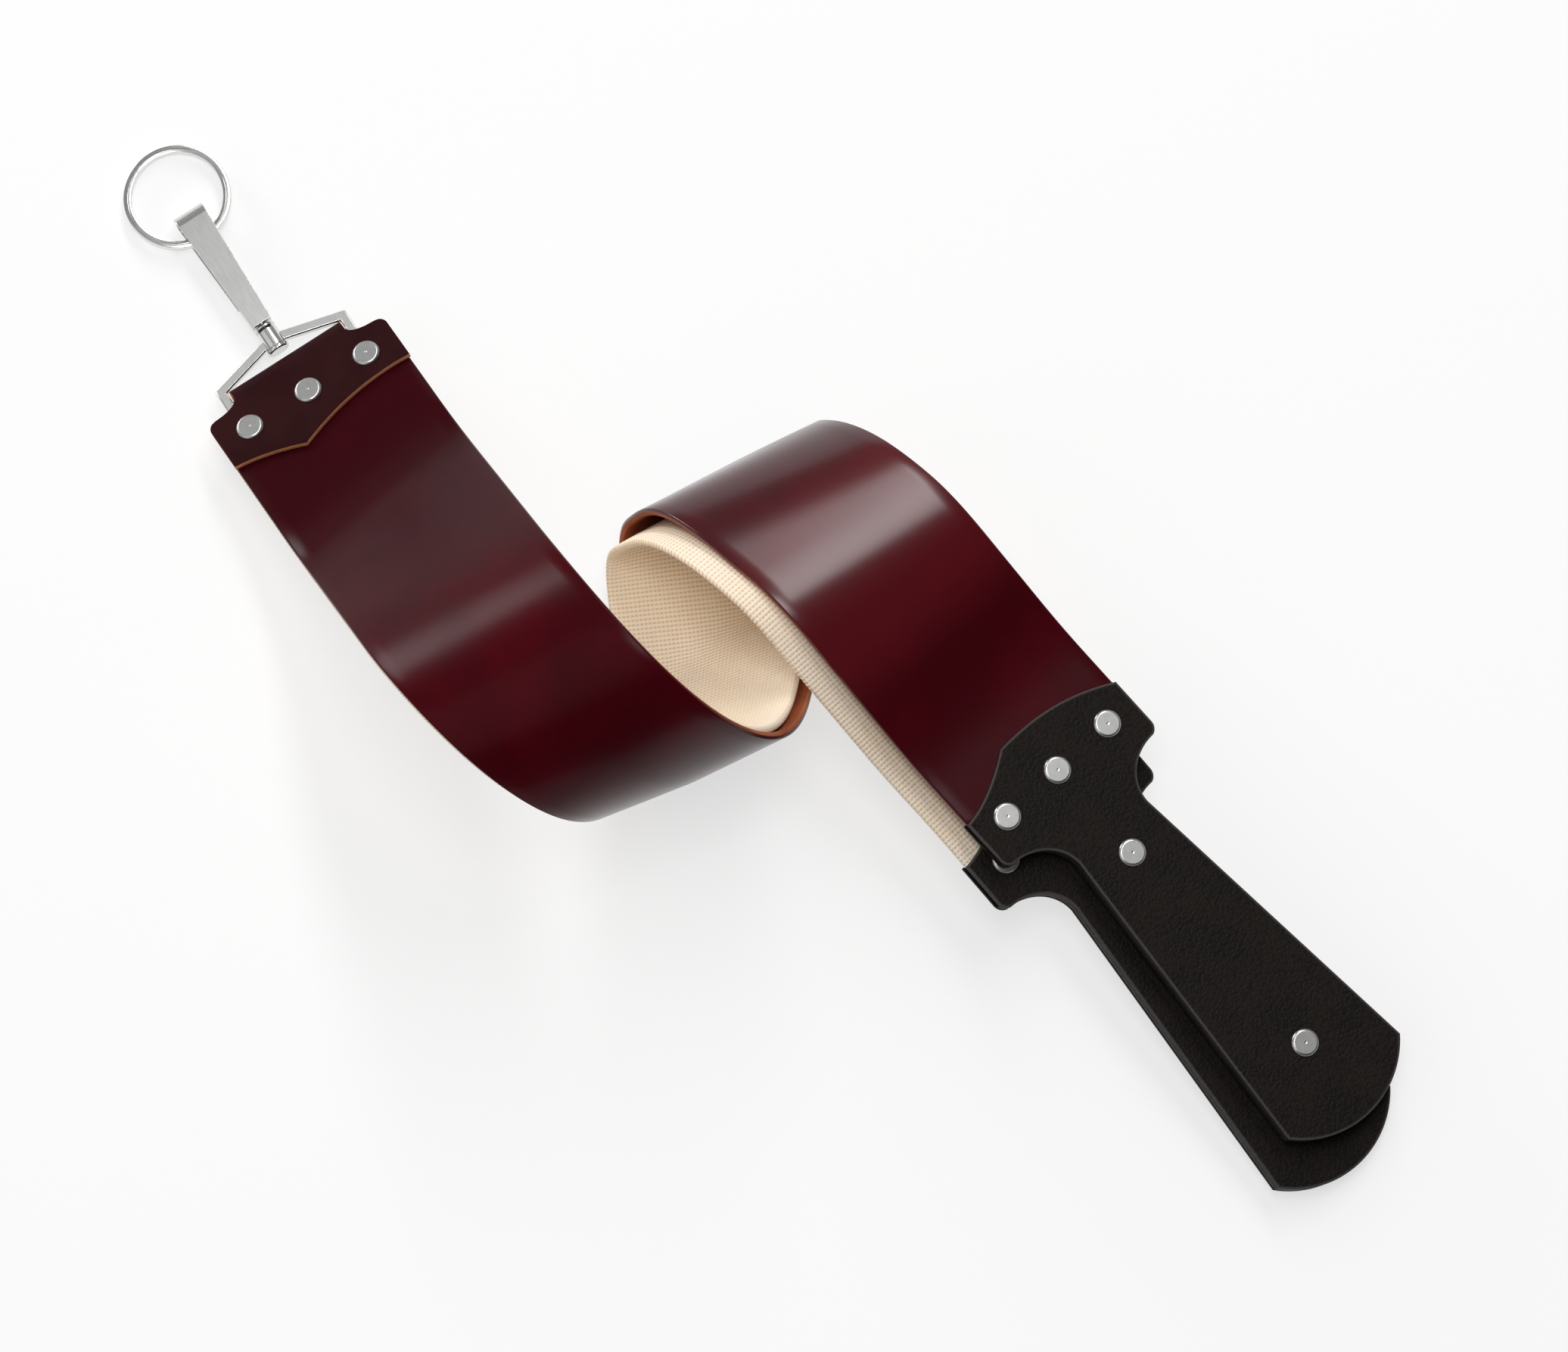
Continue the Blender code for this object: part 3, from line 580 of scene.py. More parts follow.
def makeNickel():
    look = {
        "dull": (0.76, 0.755, 0.745),
        "bright": (0.80, 0.795, 0.785),
        "brushed": (150.0, 3000.0, 3000.0),    # brush lines run along x
        "clouds": 120.0,
        "roughness": (0.18, 0.24),
    }
    material, tree, shader = newMaterial("satinNickel", 0.3, 1.0)
    stretched = addNode(tree, "ShaderNodeMapping")
    stretched.inputs["Scale"].default_value = look["brushed"]
    tree.links.new(objectCoords(tree), stretched.inputs["Vector"])
    lines = noise(tree, stretched.outputs["Vector"], 1.0, 2.0)
    cloud = noise(tree, objectCoords(tree), look["clouds"], 2.0)
    base = mixColour(tree, ramp(tree, cloud, *midNoise), look["dull"], look["bright"])
    paint(tree, shader, base, ramp(tree, lines, *midNoise, *look["roughness"]))
    return material


def makeRivetMetal():
    look = {
        "dull": (0.58, 0.58, 0.572),
        "bright": (0.65, 0.65, 0.64),
        "turned": (0.40, 0.40, 0.395),
        "turnedShare": 0.4,
        "turnedPitch": 0.5 * mm,
        "clouds": 500.0,
        "roughness": (0.29, 0.33),
    }
    material, tree, shader = newMaterial("rivetNickel", 0.34, 1.0)
    radius = attribute(tree, "faceRadius")
    turning = calc(tree, "SINE", calc(tree, "MULTIPLY", radius, 2 * pi / look["turnedPitch"]))
    cloud = noise(tree, objectCoords(tree), look["clouds"], 3.0)
    base = mixColour(tree, ramp(tree, cloud, *midNoise), look["dull"], look["bright"])
    base = mixColour(tree, ramp(tree, turning, -1.0, 1.0, 0.0, look["turnedShare"]), base, look["turned"])
    paint(tree, shader, base, ramp(tree, turning, -1.0, 1.0, *look["roughness"]))
    return material


def makeGrooveShade():
    look = {"dark": (0.05, 0.05, 0.05), "light": (0.09, 0.09, 0.088), "clouds": 900.0}
    material, tree, shader = newMaterial("grooveShade", 0.5, 1.0)    # painted shade in the collar's grooves
    cloud = noise(tree, objectCoords(tree), look["clouds"], 2.0)
    paint(tree, shader, mixColour(tree, ramp(tree, cloud, *midNoise), look["dark"], look["light"]))
    return material


strapLeather = makeStrapLeather()
tabLeather = makeTabLeather()
rawEdge = makeRawEdge()
handleLeather = makeHandleLeather()
linenWeave = makeLinen()
satinNickel = makeNickel()
rivetNickel = makeRivetMetal()
grooveShade = makeGrooveShade()
print("materials made")


# the end tab's outline, which the straps' ends follow too

def tabHalfWidth(u):
    shoulder = coil["tabRow"] - tab["shoulderRise"]
    if u >= shoulder + tab["shoulderRound"]:
        return halfWidth
    if u >= shoulder:
        x = 1 - (u - shoulder) / tab["shoulderRound"]
        return halfWidth - tab["shoulderRound"] * (1 - sqrt(1 - x * x))
    start = min(0.0, shoulder - tab["shoulderRound"])
    x = max(0.0, min(1.0, (u - start) / (shoulder - start)))
    return tab["foldHalf"] + (halfWidth - tab["shoulderRound"] - tab["foldHalf"]) * (1 - sqrt(1 - x * x))


def tabEnd(t):
    across = (t + halfWidth) / coil["strapWidth"]
    point = tab["pointShare"]
    if across < point:
        x, edge, sag = across / point, tab["leftReach"], tab["leftSag"]
    else:
        x, edge, sag = (1 - across) / (1 - point), tab["rightReach"], tab["rightSag"]
    return coil["tabRow"] + edge + (tab["pointReach"] - edge) * x - sag * 4 * x * (1 - x)


# straps

def crossSection(halfThick, edgeRound, columns, edgeSteps):
    # the outline of a strap's cut end: across, above the middle, and which side it is
    section = []
    flat = halfWidth - edgeRound
    for i in range(columns + 1):
        section.append((-flat + 2 * flat * i / columns, halfThick, 1.0))
    for i in range(1, edgeSteps):
        angle = pi / 2 - pi * i / edgeSteps
        section.append((flat + edgeRound * cos(angle), halfThick * sin(angle), sin(angle)))
    for i in range(columns + 1):
        section.append((flat - 2 * flat * i / columns, -halfThick, -1.0))
    for i in range(1, edgeSteps):
        angle = -pi / 2 - pi * i / edgeSteps
        section.append((-flat + edgeRound * cos(angle), halfThick * sin(angle), sin(angle)))
    return np.array(section)


def strapMesh(name, strap, along, thick, row, shape, ribs=None):
    section = crossSection(thick / 2, shape["edgeRound"], shape["columns"], shape["edgeSteps"])
    rows = len(along)
    narrow = np.array([min(1.0, (tabHalfWidth(s) - gap) / halfWidth) for s in along])
    tucked = np.clip((along - row + coil["tuckBefore"]) / coil["tuckEase"], 0, 1)
    narrow -= coil["tuck"] / halfWidth * tucked    # hidden by the handle's scales
    s = np.repeat(along, len(section))
    t = np.tile(section[:, 0], rows) * np.repeat(narrow, len(section))
    w = np.tile(section[:, 1], rows)
    side = np.tile(section[:, 2], rows)
    uv = np.stack([s, t], 1)
    if ribs:
        lift = ribs["height"] * (np.abs(np.sin(pi * s / ribs["pitch"])) - 1.0)
        w = w + lift * np.sign(w)
        t = t + lift * np.clip((np.abs(t) - halfWidth + ribs["edge"]) / ribs["edge"], 0, 1) * np.sign(t)
    outer = np.clip(0.5 - t / coil["strapWidth"], 0, 1)
    reach = np.abs(s - shape["archMiddle"] - shape["archSkew"] * (1 - outer)) / shape["archHalf"]
    arch = np.cos(np.clip(reach, 0, 1) * pi / 2) ** 2    # the strap stands up more at its left edge
    w = w + arch * (shape["archLift"] + shape["archLeftLift"] * outer)
    x = np.clip((s - row + coil["shiftBefore"]) / coil["shiftEase"], 0, 1)
    t = t + shape["shift"] * x * x * (3 - 2 * x)
    places = strapPoints(strap, s, t, w)
    start, full, end = shape["pullOver"]    # the front of the coil is drawn in, more at its left edge
    x = np.clip(np.minimum((s - start) / (full - start), (end - s) / (end - full)), 0, 1)
    amount = np.interp(t, (-halfWidth, 0, halfWidth), coil["pull"]) * x * x * (3 - 2 * x)
    places[:, 0] += amount * cos(radians(coil["pullHeading"]))
    places[:, 1] += amount * sin(radians(coil["pullHeading"]))
    places[:, 2] = np.maximum(places[:, 2], coil["floorClear"])    # never under the floor
    return meshFromGrid(name, places, rows, len(section), uv, side)


strapStart = coil["barRadius"] + 2 * gap
leatherShape = {
    "archMiddle": 399 * mm,
    "archSkew": 14 * mm,
    "archHalf": 39 * mm,
    "archLift": 5.6 * mm,
    "archLeftLift": 6.2 * mm,
    "shift": 0.0,
    "pullOver": (120 * mm, 232 * mm, 322 * mm),    # start, most and end
    "edgeRound": 0.7 * mm,
    "columns": 16,
    "edgeSteps": 8,
    "tabRun": 10 * mm,    # finer rows as far as this
    "tabRows": 40,
    "rows": 420,
}
leatherEnd = coil["leatherRow"] + coil["tail"]
leatherRows = np.concatenate([np.linspace(strapStart, leatherShape["tabRun"], leatherShape["tabRows"])[:-1],
                              np.linspace(leatherShape["tabRun"], leatherEnd, leatherShape["rows"])])
leatherStrap = addPiece(
    strapMesh("leatherStrap", leather, leatherRows, coil["leatherThick"], coil["leatherRow"], leatherShape),
    strapLeather, "straps", ["leather_strop"])

linenShape = {
    "archMiddle": 381 * mm,
    "archSkew": 12 * mm,
    "archHalf": 37 * mm,
    "archLift": 2.2 * mm,
    "archLeftLift": 6.4 * mm,
    "shift": 4.2 * mm,
    "pullOver": (120 * mm, 228 * mm, 313 * mm),
    "edgeRound": 1.3 * mm,
    "columns": 8,
    "edgeSteps": 8,
}
linenRibs = {"pitch": weave["ribPitch"], "height": 0.27 * mm, "edge": 1.0 * mm, "stepsPerRib": 4}
linenEnd = linenRow + coil["tail"]
linenSteps = round((linenEnd - strapStart) / linenRibs["pitch"]) * linenRibs["stepsPerRib"]
linenRows = np.linspace(strapStart, linenEnd, linenSteps)
linenStrap = addPiece(
    strapMesh("linenStrap", linen, linenRows, coil["linenThick"], linenRow, linenShape, linenRibs),
    linenWeave, "straps", ["linen_strop"])
linenShift = Matrix.Translation((0.0, linenShape["shift"], 0.0))
linen["endFrame"] = linen["endFrame"] @ linenShift    # its handle and rivets are shifted with it
print("straps made", len(leatherStrap.data.polygons), len(linenStrap.data.polygons))


# handles

def arc(centre, radius, start, end, steps):
    points = []
    for i in range(steps + 1):
        angle = radians(start + (end - start) * i / steps)
        points.append((centre[0] + radius * cos(angle), centre[1] + radius * sin(angle)))
    return points


def crownArc(half, rise, edge, steps):
    radius = (half * half + rise * rise) / (2 * rise)
    sweep = degrees(acos((radius - rise) / radius))
    return arc((edge + rise - radius, 0.0), radius, sweep, -sweep, steps)


def headArch(t):
    kinkAt, peakAt = handle["archKinkAt"], handle["archPeakAt"]
    if t > kinkAt:
        x = abs(t - peakAt) / (halfWidth - peakAt)
        return handle["archPeak"] - (handle["archPeak"] - handle["archRight"]) * x ** handle["archPower"]
    x = (t + halfWidth) / (kinkAt + halfWidth)
    return handle["archLeft"] + (handle["archKink"] - handle["archLeft"]) * x ** handle["kinkPower"]


def handleOutline(start=None):
    radius = handle["headRound"]
    headSteps, cornerSteps, coveSteps, endSteps = handle["steps"]
    side = arc((handle["headFoot"] - radius, halfWidth - radius), radius, 90, handle["cornerEnd"], cornerSteps)
    outerX, outerY = side[-1]
    for i in range(1, coveSteps + 1):
        angle = pi / 2 * i / coveSteps
        side.append((handle["coveEnd"] - (handle["coveEnd"] - outerX) * cos(angle),
                     outerY - (outerY - handle["neckHalf"]) * sin(angle)))
    if start is None:
        head = [(-headArch(y), y) for y in np.linspace(-halfWidth, halfWidth, headSteps).tolist()]
    else:
        side = [(x, y) for x, y in side if x > start]
        head = [(start, -side[0][1]), (start, side[0][1])]
    end = crownArc(handle["endHalf"], handle["endCrown"], handle["endEdge"], endSteps)
    return head + side + end + [(x, -y) for x, y in reversed(side)]


def insetLoop(points, distance):
    moved = []
    count = len(points)
    for i in range(count):
        before = Vector(points[i]) - Vector(points[i - 1])
        after = Vector(points[(i + 1) % count]) - Vector(points[i])
        outward = Vector((before.y, -before.x)).normalized()
        normal = outward + Vector((after.y, -after.x)).normalized()
        normal.normalize()
        half = max(0.6, normal.dot(outward))    # a limit at sharp corners
        moved.append(Vector(points[i]) + normal * distance / half)
    return moved


def platePiece(name, outline, rings, matrix):
    # rings of inset, height and share of the painted edge highlight, from the plate's lower face up over its
    # edge to the upper face
    bm = bmesh.new()
    highlight = bm.verts.layers.float.new("rimWear")
    loops = []
    for inset, height, rimWear in rings:
        loop = []
        for x, y in insetLoop(outline, inset):
            vert = bm.verts.new(matrix @ Vector((x, y, height)))
            vert[highlight] = rimWear
            loop.append(vert)
        loops.append(loop)
    count = len(outline)
    for low, high in zip(loops, loops[1:]):
        for i in range(count):
            bm.faces.new((low[i], low[(i + 1) % count], high[(i + 1) % count], high[i]))
    for loop in (loops[0], loops[-1]):
        bmesh.ops.triangulate(bm, faces=[bm.faces.new(loop)])
    return finishMesh(bm, name, sharpAngle=35)


def cleanLoop(points):
    kept = []
    for point in points:
        if not kept or (Vector(point) - Vector(kept[-1])).length > touching:
            kept.append(point)
    if (Vector(kept[0]) - Vector(kept[-1])).length < touching:
        kept.pop()
    area = sum(a[0] * b[1] - b[0] * a[1] for a, b in zip(kept, kept[1:] + kept[:1]))
    return kept if area < 0 else kept[::-1]


def makeHandle(name, strap, row, thickness):
    outline = cleanLoop(handleOutline())
    thick, edge, lower = handle["thick"], handle["edgeRound"], handle["lowerEdge"]
    rings = [(lower, 0.0, 0.0), (0.0, lower, 0.0), (0.0, thick - edge, handle["wallHighlight"])]
    steps = handle["edgeSteps"]
    for i in range(1, steps + 1):
        angle = pi / 2 * i / steps
        highlight = 1.0 - abs(i - (steps + 1) / 2) / (steps - 1)    # the painted highlight is most in the middle of the round
        rings.append((edge * (1 - cos(angle)), thick - edge + edge * sin(angle), highlight))
    rings += [(edge + step, thick, 0.0) for step in handle["flatSteps"]]
    for word, sign in (("Front", 1), ("Back", -1)):
        turn = Matrix.Identity(4) if sign > 0 else Matrix.Scale(-1, 4, (0, 0, 1))
        matrix = strap["endFrame"] @ Matrix.Translation((row, 0.0, sign * (thickness / 2 + gap))) @ turn
        mesh = platePiece(f"{name}Handle{word}", outline, rings, matrix)
        addPiece(mesh, handleLeather, "straps", [f"{name}_handle_{word.lower()}"])
    half, inset, edge, highlight = thickness / 2, handle["coreInset"], handle["coreEdge"], handle["coreHighlight"]
    core = cleanLoop(handleOutline(coil["tail"] + gap))
    # the core's edge takes a little of the painted edge highlight
    wall = [(edge, -half, 0.0), (inset, edge - half, highlight), (inset, half - edge, highlight), (edge, half, 0.0)]
    matrix = strap["endFrame"] @ Matrix.Translation((row, 0.0, 0.0))
    mesh = platePiece(f"{name}HandleCore", core, wall, matrix)
    addPiece(mesh, handleLeather, "straps", [f"{name}_handle_core"])


makeHandle("leather", leather, coil["leatherRow"], coil["leatherThick"])
makeHandle("linen", linen, linenRow, coil["linenThick"])
print("handles made")


# end tab, a sheet folded over the dee's bar

def makeTab():
    radius = (flapTop - flapBottom + tab["thick"]) / 2
    quarter = pi / 2 * radius
    shoulder = coil["tabRow"] - tab["shoulderRise"]
    start = min(0.0, shoulder - tab["shoulderRound"])
    fold, neck, turn, flap = tab["steps"]
    stops = [(0.0, -quarter + quarter * i / fold) for i in range(1, fold)]
    stops += [(0.0, start + (shoulder - start) * i / neck) for i in range(neck + 1)]
    stops += [(0.0, shoulder + tab["shoulderRound"] * i / turn) for i in range(1, turn + 1)]
    stops += [(0.0, coil["tabRow"])] + [(i / flap, coil["tabRow"]) for i in range(1, flap + 1)]
    half = sorted(set(stops))
    lines = [(-1, stop) for stop in reversed(half)] + [(1, (0.0, -quarter))] + [(1, stop) for stop in half]
    matrix = tabFrame @ Matrix.Translation((0.0, 0.0, foldMiddle))
    bm = bmesh.new()
    bmesh.ops.create_grid(bm, x_segments=len(lines) - 1, y_segments=tab["columns"], size=1.0)
    for vert in bm.verts:
        side, (share, u) = lines[round((vert.co.x + 1) / 2 * (len(lines) - 1))]
        t = vert.co.y * (tabHalfWidth(u) - (tab["backTuck"] if side < 0 and u > 0 else 0.0))
        u += share * (tabEnd(t) - u)
        if u >= 0.0:
            vert.co = matrix @ Vector((u, t, side * radius))
        else:
            vert.co = matrix @ Vector((sin(u / radius) * radius, t, side * cos(u / radius) * radius))
    bmesh.ops.remove_doubles(bm, verts=bm.verts, dist=touching)
    bmesh.ops.recalc_face_normals(bm, faces=bm.faces)
    mesh = bpy.data.meshes.new("endTab")
    bm.to_mesh(mesh)
    bm.free()
    mesh.shade_smooth()
    piece = addPiece(mesh, [tabLeather, rawEdge], "straps", ["end_tab"])
    solidify = piece.modifiers.new("thickness", "SOLIDIFY")
    solidify.thickness = tab["thick"]
    solidify.offset = 0.0
    solidify.material_offset_rim = 1
    bevel = piece.modifiers.new("worn edge", "BEVEL")
    bevel.width = tab["bevel"]
    bevel.segments = 2
    bevel.limit_method = "ANGLE"
    bevel.angle_limit = radians(50)
    return piece


makeTab()
print("tab made")


# rivets, set out by Geometry Nodes

def rivetHeadMesh():
    head, face, rise = rivet["head"] / 2, rivet["face"] / 2, rivet["rise"]
    sunkShare, sunkDeep = rivet["sunk"]
    profile = [(radius, rise - down) for radius, down in rivet["dimple"]]
    profile += [(face + out, rise - down) for out, down in rivet["faceEdge"]]
    profile += [(head - inward, rise * share) for inward, share in rivet["side"]]
    profile += [(head * sunkShare, -sunkDeep)]
    bm = bmesh.new()
    radiusLayer = bm.verts.layers.float.new("faceRadius")
    rings = []
    for radius, height in profile:
        ring = []
        for i in range(rivet["sides"]):
            angle = 2 * pi * i / rivet["sides"]
            vert = bm.verts.new((radius * cos(angle), radius * sin(angle), height))
            vert[radiusLayer] = radius
            ring.append(vert)
        rings.append(ring)
    for inner, outer in zip(rings, rings[1:]):
        for i in range(rivet["sides"]):
            k = (i + 1) % rivet["sides"]
            bm.faces.new((inner[i], outer[i], outer[k], inner[k]))
    bm.faces.new(rings[0])
    bm.faces.new(rings[-1][::-1])
    return finishMesh(bm, "rivetHead", sharpAngle=30)


def rivetPlaces():
    spots = []
    tabTop, tabBottom = flapTop + tab["thick"], flapBottom - tab["thick"]
    for i in range(3):
        place = (coil["tabRow"], (i - 1) * rivet["tabPitch"])
        spots.append((tabFrame, place, tabTop, tabBottom))
    for strap, row, thickness in ((leather, coil["leatherRow"], coil["leatherThick"]),
                                  (linen, linenRow, coil["linenThick"])):
        top = thickness / 2 + gap + handle["thick"]
        places = [(row, (i - 1) * handle["rivetPitch"]) for i in range(3)]
        places += [(row + handle["neckRivet"], 0.0), (row + handle["endRivet"], 0.0)]
        spots += [(strap["endFrame"], place, top, -top) for place in places]
    points, facings = [], []
    for matrix, (s, t), top, bottom in spots:
        up = (matrix.to_3x3() @ Vector((0.0, 0.0, 1.0))).normalized()
        heights = (top + rivet["lift"], bottom - rivet["lift"])
        points += [matrix @ Vector((s, t, height)) for height in heights]
        facings += [up, -up]
    return points, facings


def rivetTree():
    tree = bpy.data.node_groups.new("setRivets", "GeometryNodeTree")
    addSockets(tree, "INPUT", {"Geometry": "Geometry", "Rivet Head": "Object"})
    addSockets(tree, "OUTPUT", {"Geometry": "Geometry"})
    entry, leave = addNode(tree, "NodeGroupInput"), addNode(tree, "NodeGroupOutput")
    facing = addNode(tree, "GeometryNodeInputNamedAttribute", data_type="FLOAT_VECTOR")
    facing.inputs["Name"].default_value = "facing"
    turn = addNode(tree, "FunctionNodeAlignRotationToVector", axis="Z")
    info = addNode(tree, "GeometryNodeObjectInfo")
    place = addNode(tree, "GeometryNodeInstanceOnPoints")
    real = addNode(tree, "GeometryNodeRealizeInstances")
    metalled = addNode(tree, "GeometryNodeSetMaterial")
    metalled.inputs["Material"].default_value = rivetNickel
    feed(tree, info.inputs["Object"], entry.outputs["Rivet Head"])
    feed(tree, turn.inputs["Vector"], facing.outputs["Attribute"])
    feedAll(tree, place, {"Points": entry.outputs["Geometry"], "Instance": info.outputs["Geometry"],
                          "Rotation": turn.outputs["Rotation"]})
    feed(tree, real.inputs["Geometry"], place.outputs["Instances"])
    feed(tree, metalled.inputs["Geometry"], real.outputs["Geometry"])
    feed(tree, leave.inputs["Geometry"], metalled.outputs["Geometry"])
    return tree


def makeRivets():
    points, facings = rivetPlaces()
    cloud = bpy.data.meshes.new("rivetPoints")
    cloud.from_pydata(points, [], [])
    facing = cloud.attributes.new("facing", "FLOAT_VECTOR", "POINT")
    facing.data.foreach_set("vector", [v for each in facings for v in each])
    headObject = addObject("rivetHead", rivetHeadMesh())
    holder = addObject("rivetPoints", cloud)
    tree = rivetTree()
    modifier = holder.modifiers.new("rivets", "NODES")
    modifier.node_group = tree
    sockets = {item.name: item.identifier for item in tree.interface.items_tree if item.in_out == "INPUT"}
    modifier[sockets["Rivet Head"]] = headObject
    bpy.context.view_layer.update()
    mesh = bpy.data.meshes.new_from_object(holder.evaluated_get(bpy.context.evaluated_depsgraph_get()))
    bpy.data.objects.remove(holder)
    bpy.data.objects.remove(headObject)
    mesh.name = "rivets"
    nodes = [name for name in frame["nodes"] if "_rivet_" in name]
    return addPiece(mesh, rivetNickel, "straps", nodes)


rivets = makeRivets()
print("rivets made", len(rivets.data.polygons))

# ring, eye, collar, pin and dee

metal = {
    "ringOuter": 16.6 * mm,
    "ringInner": 14.2 * mm,
    "ringThick": 2.8 * mm,
    "ringEdge": 0.35 * mm,
    "grooveAt": 15.2 * mm,
    "grooveHalf": 0.16 * mm,
    "grooveDeep": 0.14 * mm,
    "ringSides": 128,
    "collarRing": 3.45 * mm,
    "collarNeck": 2.3 * mm,
    "collarBore": 1.4 * mm,
    "collarGroove": 0.52 * mm,
    "collarEdge": 0.12 * mm,
    "mergeWithin": 0.002 * mm,
    "flatAngle": 1,
    "sharpAngle": 35,
    "edges": {"swivel_eye": 0.35 * mm, "dee_loop": 0.45 * mm, "swivel_pin": 0.12 * mm},
}


def makeFitting(name, node, body):
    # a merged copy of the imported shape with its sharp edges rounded
    bm = bmesh.new()
    bm.from_mesh(frame["nodes"][node].data)
    bmesh.ops.remove_doubles(bm, verts=bm.verts, dist=metal["mergeWithin"])
    bmesh.ops.dissolve_limit(bm, angle_limit=radians(metal["flatAngle"]), verts=bm.verts, edges=bm.edges)
    sharp = [edge for edge in bm.edges
             if edge.is_manifold and edge.calc_face_angle() > radians(metal["sharpAngle"])]
    bmesh.ops.bevel(bm, geom=sharp, offset=metal["edges"][node], segments=3, profile=0.5, affect="EDGES",
                    clamp_overlap=True)
    piece = addPiece(finishMesh(bm, name, sharpAngle=40), satinNickel, body, [node])
    weighted = piece.modifiers.new("flat faces", "WEIGHTED_NORMAL")
    weighted.weight = 100
    weighted.keep_sharp = True


def turnedMesh(name, profile, matrix, dark=()):
    # a closed profile of radius and height turned round the matrix's z axis
    bm = bmesh.new()
    rings = []
    for i in range(metal["ringSides"]):
        angle = 2 * pi * i / metal["ringSides"]
        rings.append([bm.verts.new(matrix @ Vector((r * cos(angle), r * sin(angle), z))) for r, z in profile])
    for i, ring in enumerate(rings):
        after = rings[(i + 1) % len(rings)]
        for j in range(len(profile)):
            k = (j + 1) % len(profile)
            bm.faces.new((ring[j], ring[k], after[k], after[j])).material_index = int(j in dark)
    return finishMesh(bm, name, sharpAngle=30)


def makeRing():
    spots = np.array([vert.co for vert in frame["nodes"]["hang_ring"].data.vertices])
    centre = (spots.min(0) + spots.max(0)) / 2
    axis = np.linalg.svd(np.unique(spots.round(7), axis=0) - centre)[2][2]
    matrix = Matrix.Translation(centre) @ Vector(axis).to_track_quat("Z", "Y").to_matrix().to_4x4()
    outer, inner = metal["ringOuter"], metal["ringInner"]
    half, edge = metal["ringThick"] / 2, metal["ringEdge"]
    soft = edge * 0.3    # where a rounded edge passes
    at, wide, deep = metal["grooveAt"], metal["grooveHalf"], metal["grooveDeep"]
    upper = [(inner, 0.0), (inner, half - edge), (inner + soft, half - soft), (inner + edge, half)]
    upper += [(at - wide, half), (at, half - deep), (at + wide, half)]
    upper += [(outer - edge, half), (outer - soft, half - soft), (outer, half - edge), (outer, 0.0)]
    profile = upper + [(r, -z) for r, z in upper[-2:0:-1]]
    mesh = turnedMesh("hangRing", profile, matrix)
    addPiece(mesh, satinNickel, "ring", ["hang_ring"])


def makeCollar():
    joint = [each for each in frame["record"]["behaviour"]["joints"] if each["name"] == "swivel_spin"][0]
    axis, middle = Vector(joint["axis"]), jointPlace["swivel_spin"]
    spots = [(vert.co - middle).dot(axis) for vert in frame["nodes"]["swivel_collar"].data.vertices]
    low, high = min(spots), max(spots)
    ring, neck, bore = metal["collarRing"], metal["collarNeck"], metal["collarBore"]
    groove, edge = metal["collarGroove"], metal["collarEdge"]
    below, above = low + groove, high - groove
    profile = [(bore, low), (neck, low), (neck, below), (ring - edge, below), (ring, below + edge)]
    profile += [(ring, above - edge), (ring - edge, above), (neck, above), (neck, high), (bore, high)]
    matrix = Matrix.Translation(middle) @ axis.to_track_quat("Z", "Y").to_matrix().to_4x4()
    mesh = turnedMesh("swivelCollar", profile, matrix, dark=(1, 7))    # the two steps of the neck, in painted shade
    addPiece(mesh, [satinNickel, grooveShade], "swivel", ["swivel_collar"])


makeRing()
makeFitting("swivelEye", "swivel_eye", "swivel")
makeCollar()
makeFitting("swivelPin", "swivel_pin", "swivel")
makeFitting("deeLoop", "dee_loop", "dee")
print("ring, swivel and dee made")


# floor, light and camera

studio = {
    "heading": 56.82,
    "target": Vector((11.5, 5.5, 0.0)) * mm,
    "aim": Vector((0.9, 1.75, 0.0)) * mm,    # picture right and away
    "elevation": 79.72,
    "distance": 2.662,
    "lens": 200.4,
    "sensor": 36.0,
    "clipEnd": 20.0,
    "floorHalf": 4,
    "floorTone": 0.97,
    "floorWhite": 0.65,    # how far the floor is seen as plain white, without lighting the part
    "worldLight": 0.24,
    "flag": (-40, 50),    # a dark card's azimuth and height angle
    "flagLight": 0.025,
    "flagEdge": (0.35, 0.9),
    "lamps": {    # azimuth from picture right, height angle, lean, distance, size, watts
        "backBox": (78, 53, 34, 2.6, (0.4, 2.45), 32),
        "leftBox": (141, 14, 0, 2.2, (0.72, 0.72), 16),
        "frontBox": (-150, 46, 0, 2.2, (2.0, 2.0), 6.5),
        "topBox": (90, 90, 0, 2.2, (0.7, 0.7), 14.5),
        "metalBox": (104, 75, 0, 2.2, (0.8, 0.8), 1.0),
    },
}
toPart = Matrix.Rotation(radians(studio["heading"]), 4, "Z")    # picture right and away, to the part's axes


def pictureWay(azimuth, height):
    around, up = radians(azimuth), radians(height)
    return Vector((cos(around) * cos(up), sin(around) * cos(up), sin(up)))


def addLamp(name, azimuth, height, lean, distance, size, watts):
    light = bpy.data.lights.new(name, "AREA")
    light.shape = "RECTANGLE"
    light.size, light.size_y = size
    light.energy = watts
    lamp = addObject(name, light)
    spot = toPart @ pictureWay(azimuth, height) * distance
    facing = (-spot).to_track_quat("-Z", "Y").to_matrix().to_4x4()
    lamp.matrix_world = Matrix.Translation(spot) @ facing @ Matrix.Rotation(radians(lean), 4, "Z")


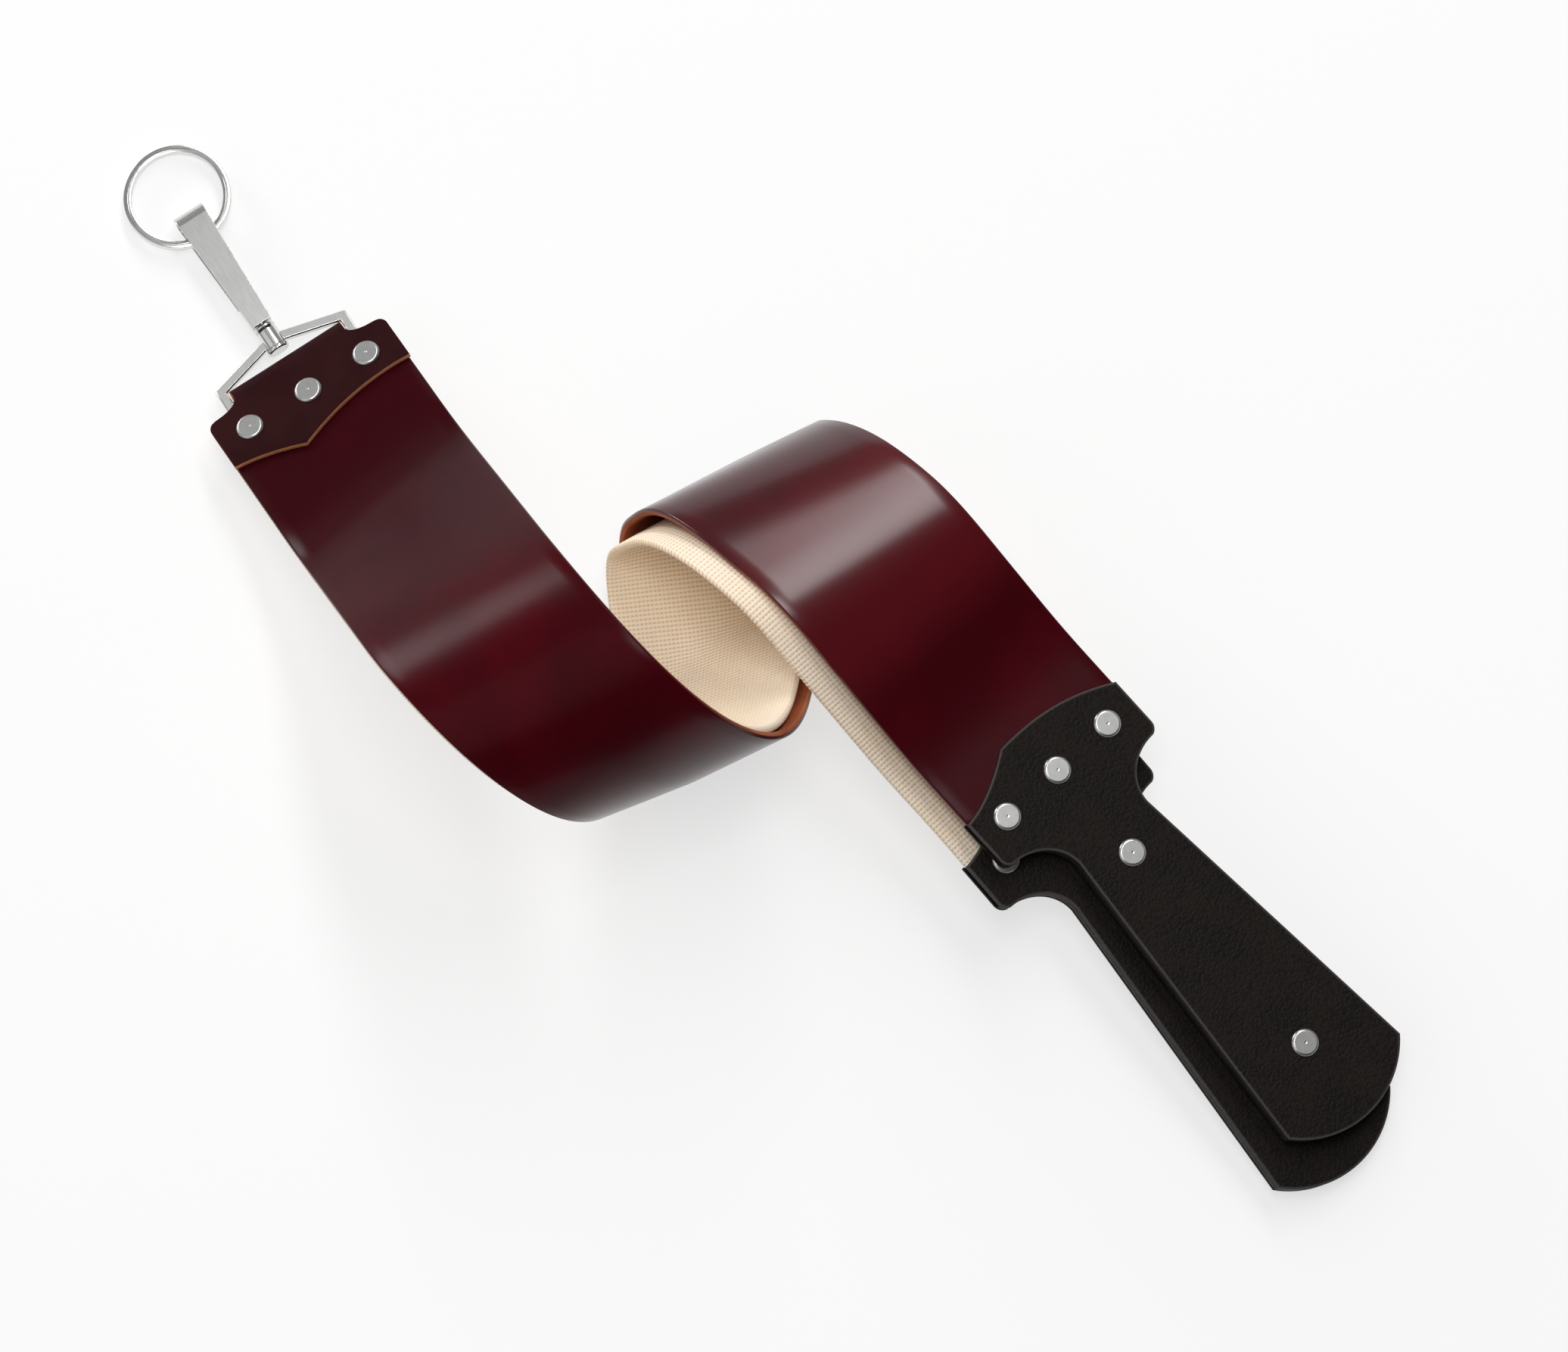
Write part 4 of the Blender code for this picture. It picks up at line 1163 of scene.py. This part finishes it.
def makeFloor():
    mesh = bpy.data.meshes.new("floor")
    far = studio["floorHalf"]
    mesh.from_pydata([(-far, -far, 0), (far, -far, 0), (far, far, 0), (-far, far, 0)], [], [(0, 1, 2, 3)])
    floor = addObject("floor", mesh)
    material, tree, shader = newMaterial("paleFloor", 0.9, gloss=0.0)
    feed(tree, shader.inputs["Base Color"], (studio["floorTone"],) * 3)
    path = addNode(tree, "ShaderNodeLightPath")
    seen = calc(tree, "MAXIMUM", path.outputs["Is Camera Ray"], path.outputs["Is Glossy Ray"])
    seen = calc(tree, "MAXIMUM", seen, path.outputs["Is Transmission Ray"])
    white = addNode(tree, "ShaderNodeEmission")
    feedAll(tree, white, {"Color": (1.0, 1.0, 1.0), "Strength": 1.0})
    blend = addNode(tree, "ShaderNodeMixShader")
    tree.links.new(calc(tree, "MULTIPLY", seen, studio["floorWhite"]), blend.inputs["Fac"])
    tree.links.new(shader.outputs["BSDF"], blend.inputs[1])
    tree.links.new(white.outputs["Emission"], blend.inputs[2])
    tree.links.new(blend.outputs["Shader"], tree.nodes["Material Output"].inputs["Surface"])
    mesh.materials.append(material)


def makeWorld():
    world = bpy.data.worlds.new("studio")
    world.use_nodes = True
    tree = world.node_tree
    back = tree.nodes["Background"]
    feed(tree, back.inputs["Color"], (1.0, 1.0, 1.0))
    toward = addNode(tree, "ShaderNodeVectorMath", operation="DOT_PRODUCT")
    tree.links.new(addNode(tree, "ShaderNodeTexCoord").outputs["Generated"], toward.inputs[0])
    toward.inputs[1].default_value = toPart @ pictureWay(*studio["flag"])
    toward = toward.outputs["Value"]
    strength = ramp(tree, toward, *studio["flagEdge"], studio["worldLight"], studio["flagLight"])
    tree.links.new(strength, back.inputs["Strength"])
    bpy.context.scene.world = world


def makeCamera():
    data = bpy.data.cameras.new("camera")
    data.sensor_fit = "HORIZONTAL"
    data.sensor_width = studio["sensor"]
    data.lens = studio["lens"]
    data.clip_end = studio["clipEnd"]
    camera = addObject("camera", data)
    tilt = radians(studio["elevation"])
    look = Vector((0.0, cos(tilt), -sin(tilt)))
    up = Vector((0.0, sin(tilt), cos(tilt)))
    turn = Matrix((Vector((1.0, 0.0, 0.0)), up, -look)).transposed().to_4x4()
    place = studio["target"] + toPart @ studio["aim"] - (toPart @ look) * studio["distance"]
    camera.matrix_world = Matrix.Translation(place) @ toPart @ turn
    bpy.context.scene.camera = camera


makeFloor()
makeWorld()
for lampName, setting in studio["lamps"].items():
    addLamp(lampName, *setting)
makeCamera()
bpy.context.scene.view_settings.view_transform = "Standard"
print("studio made")
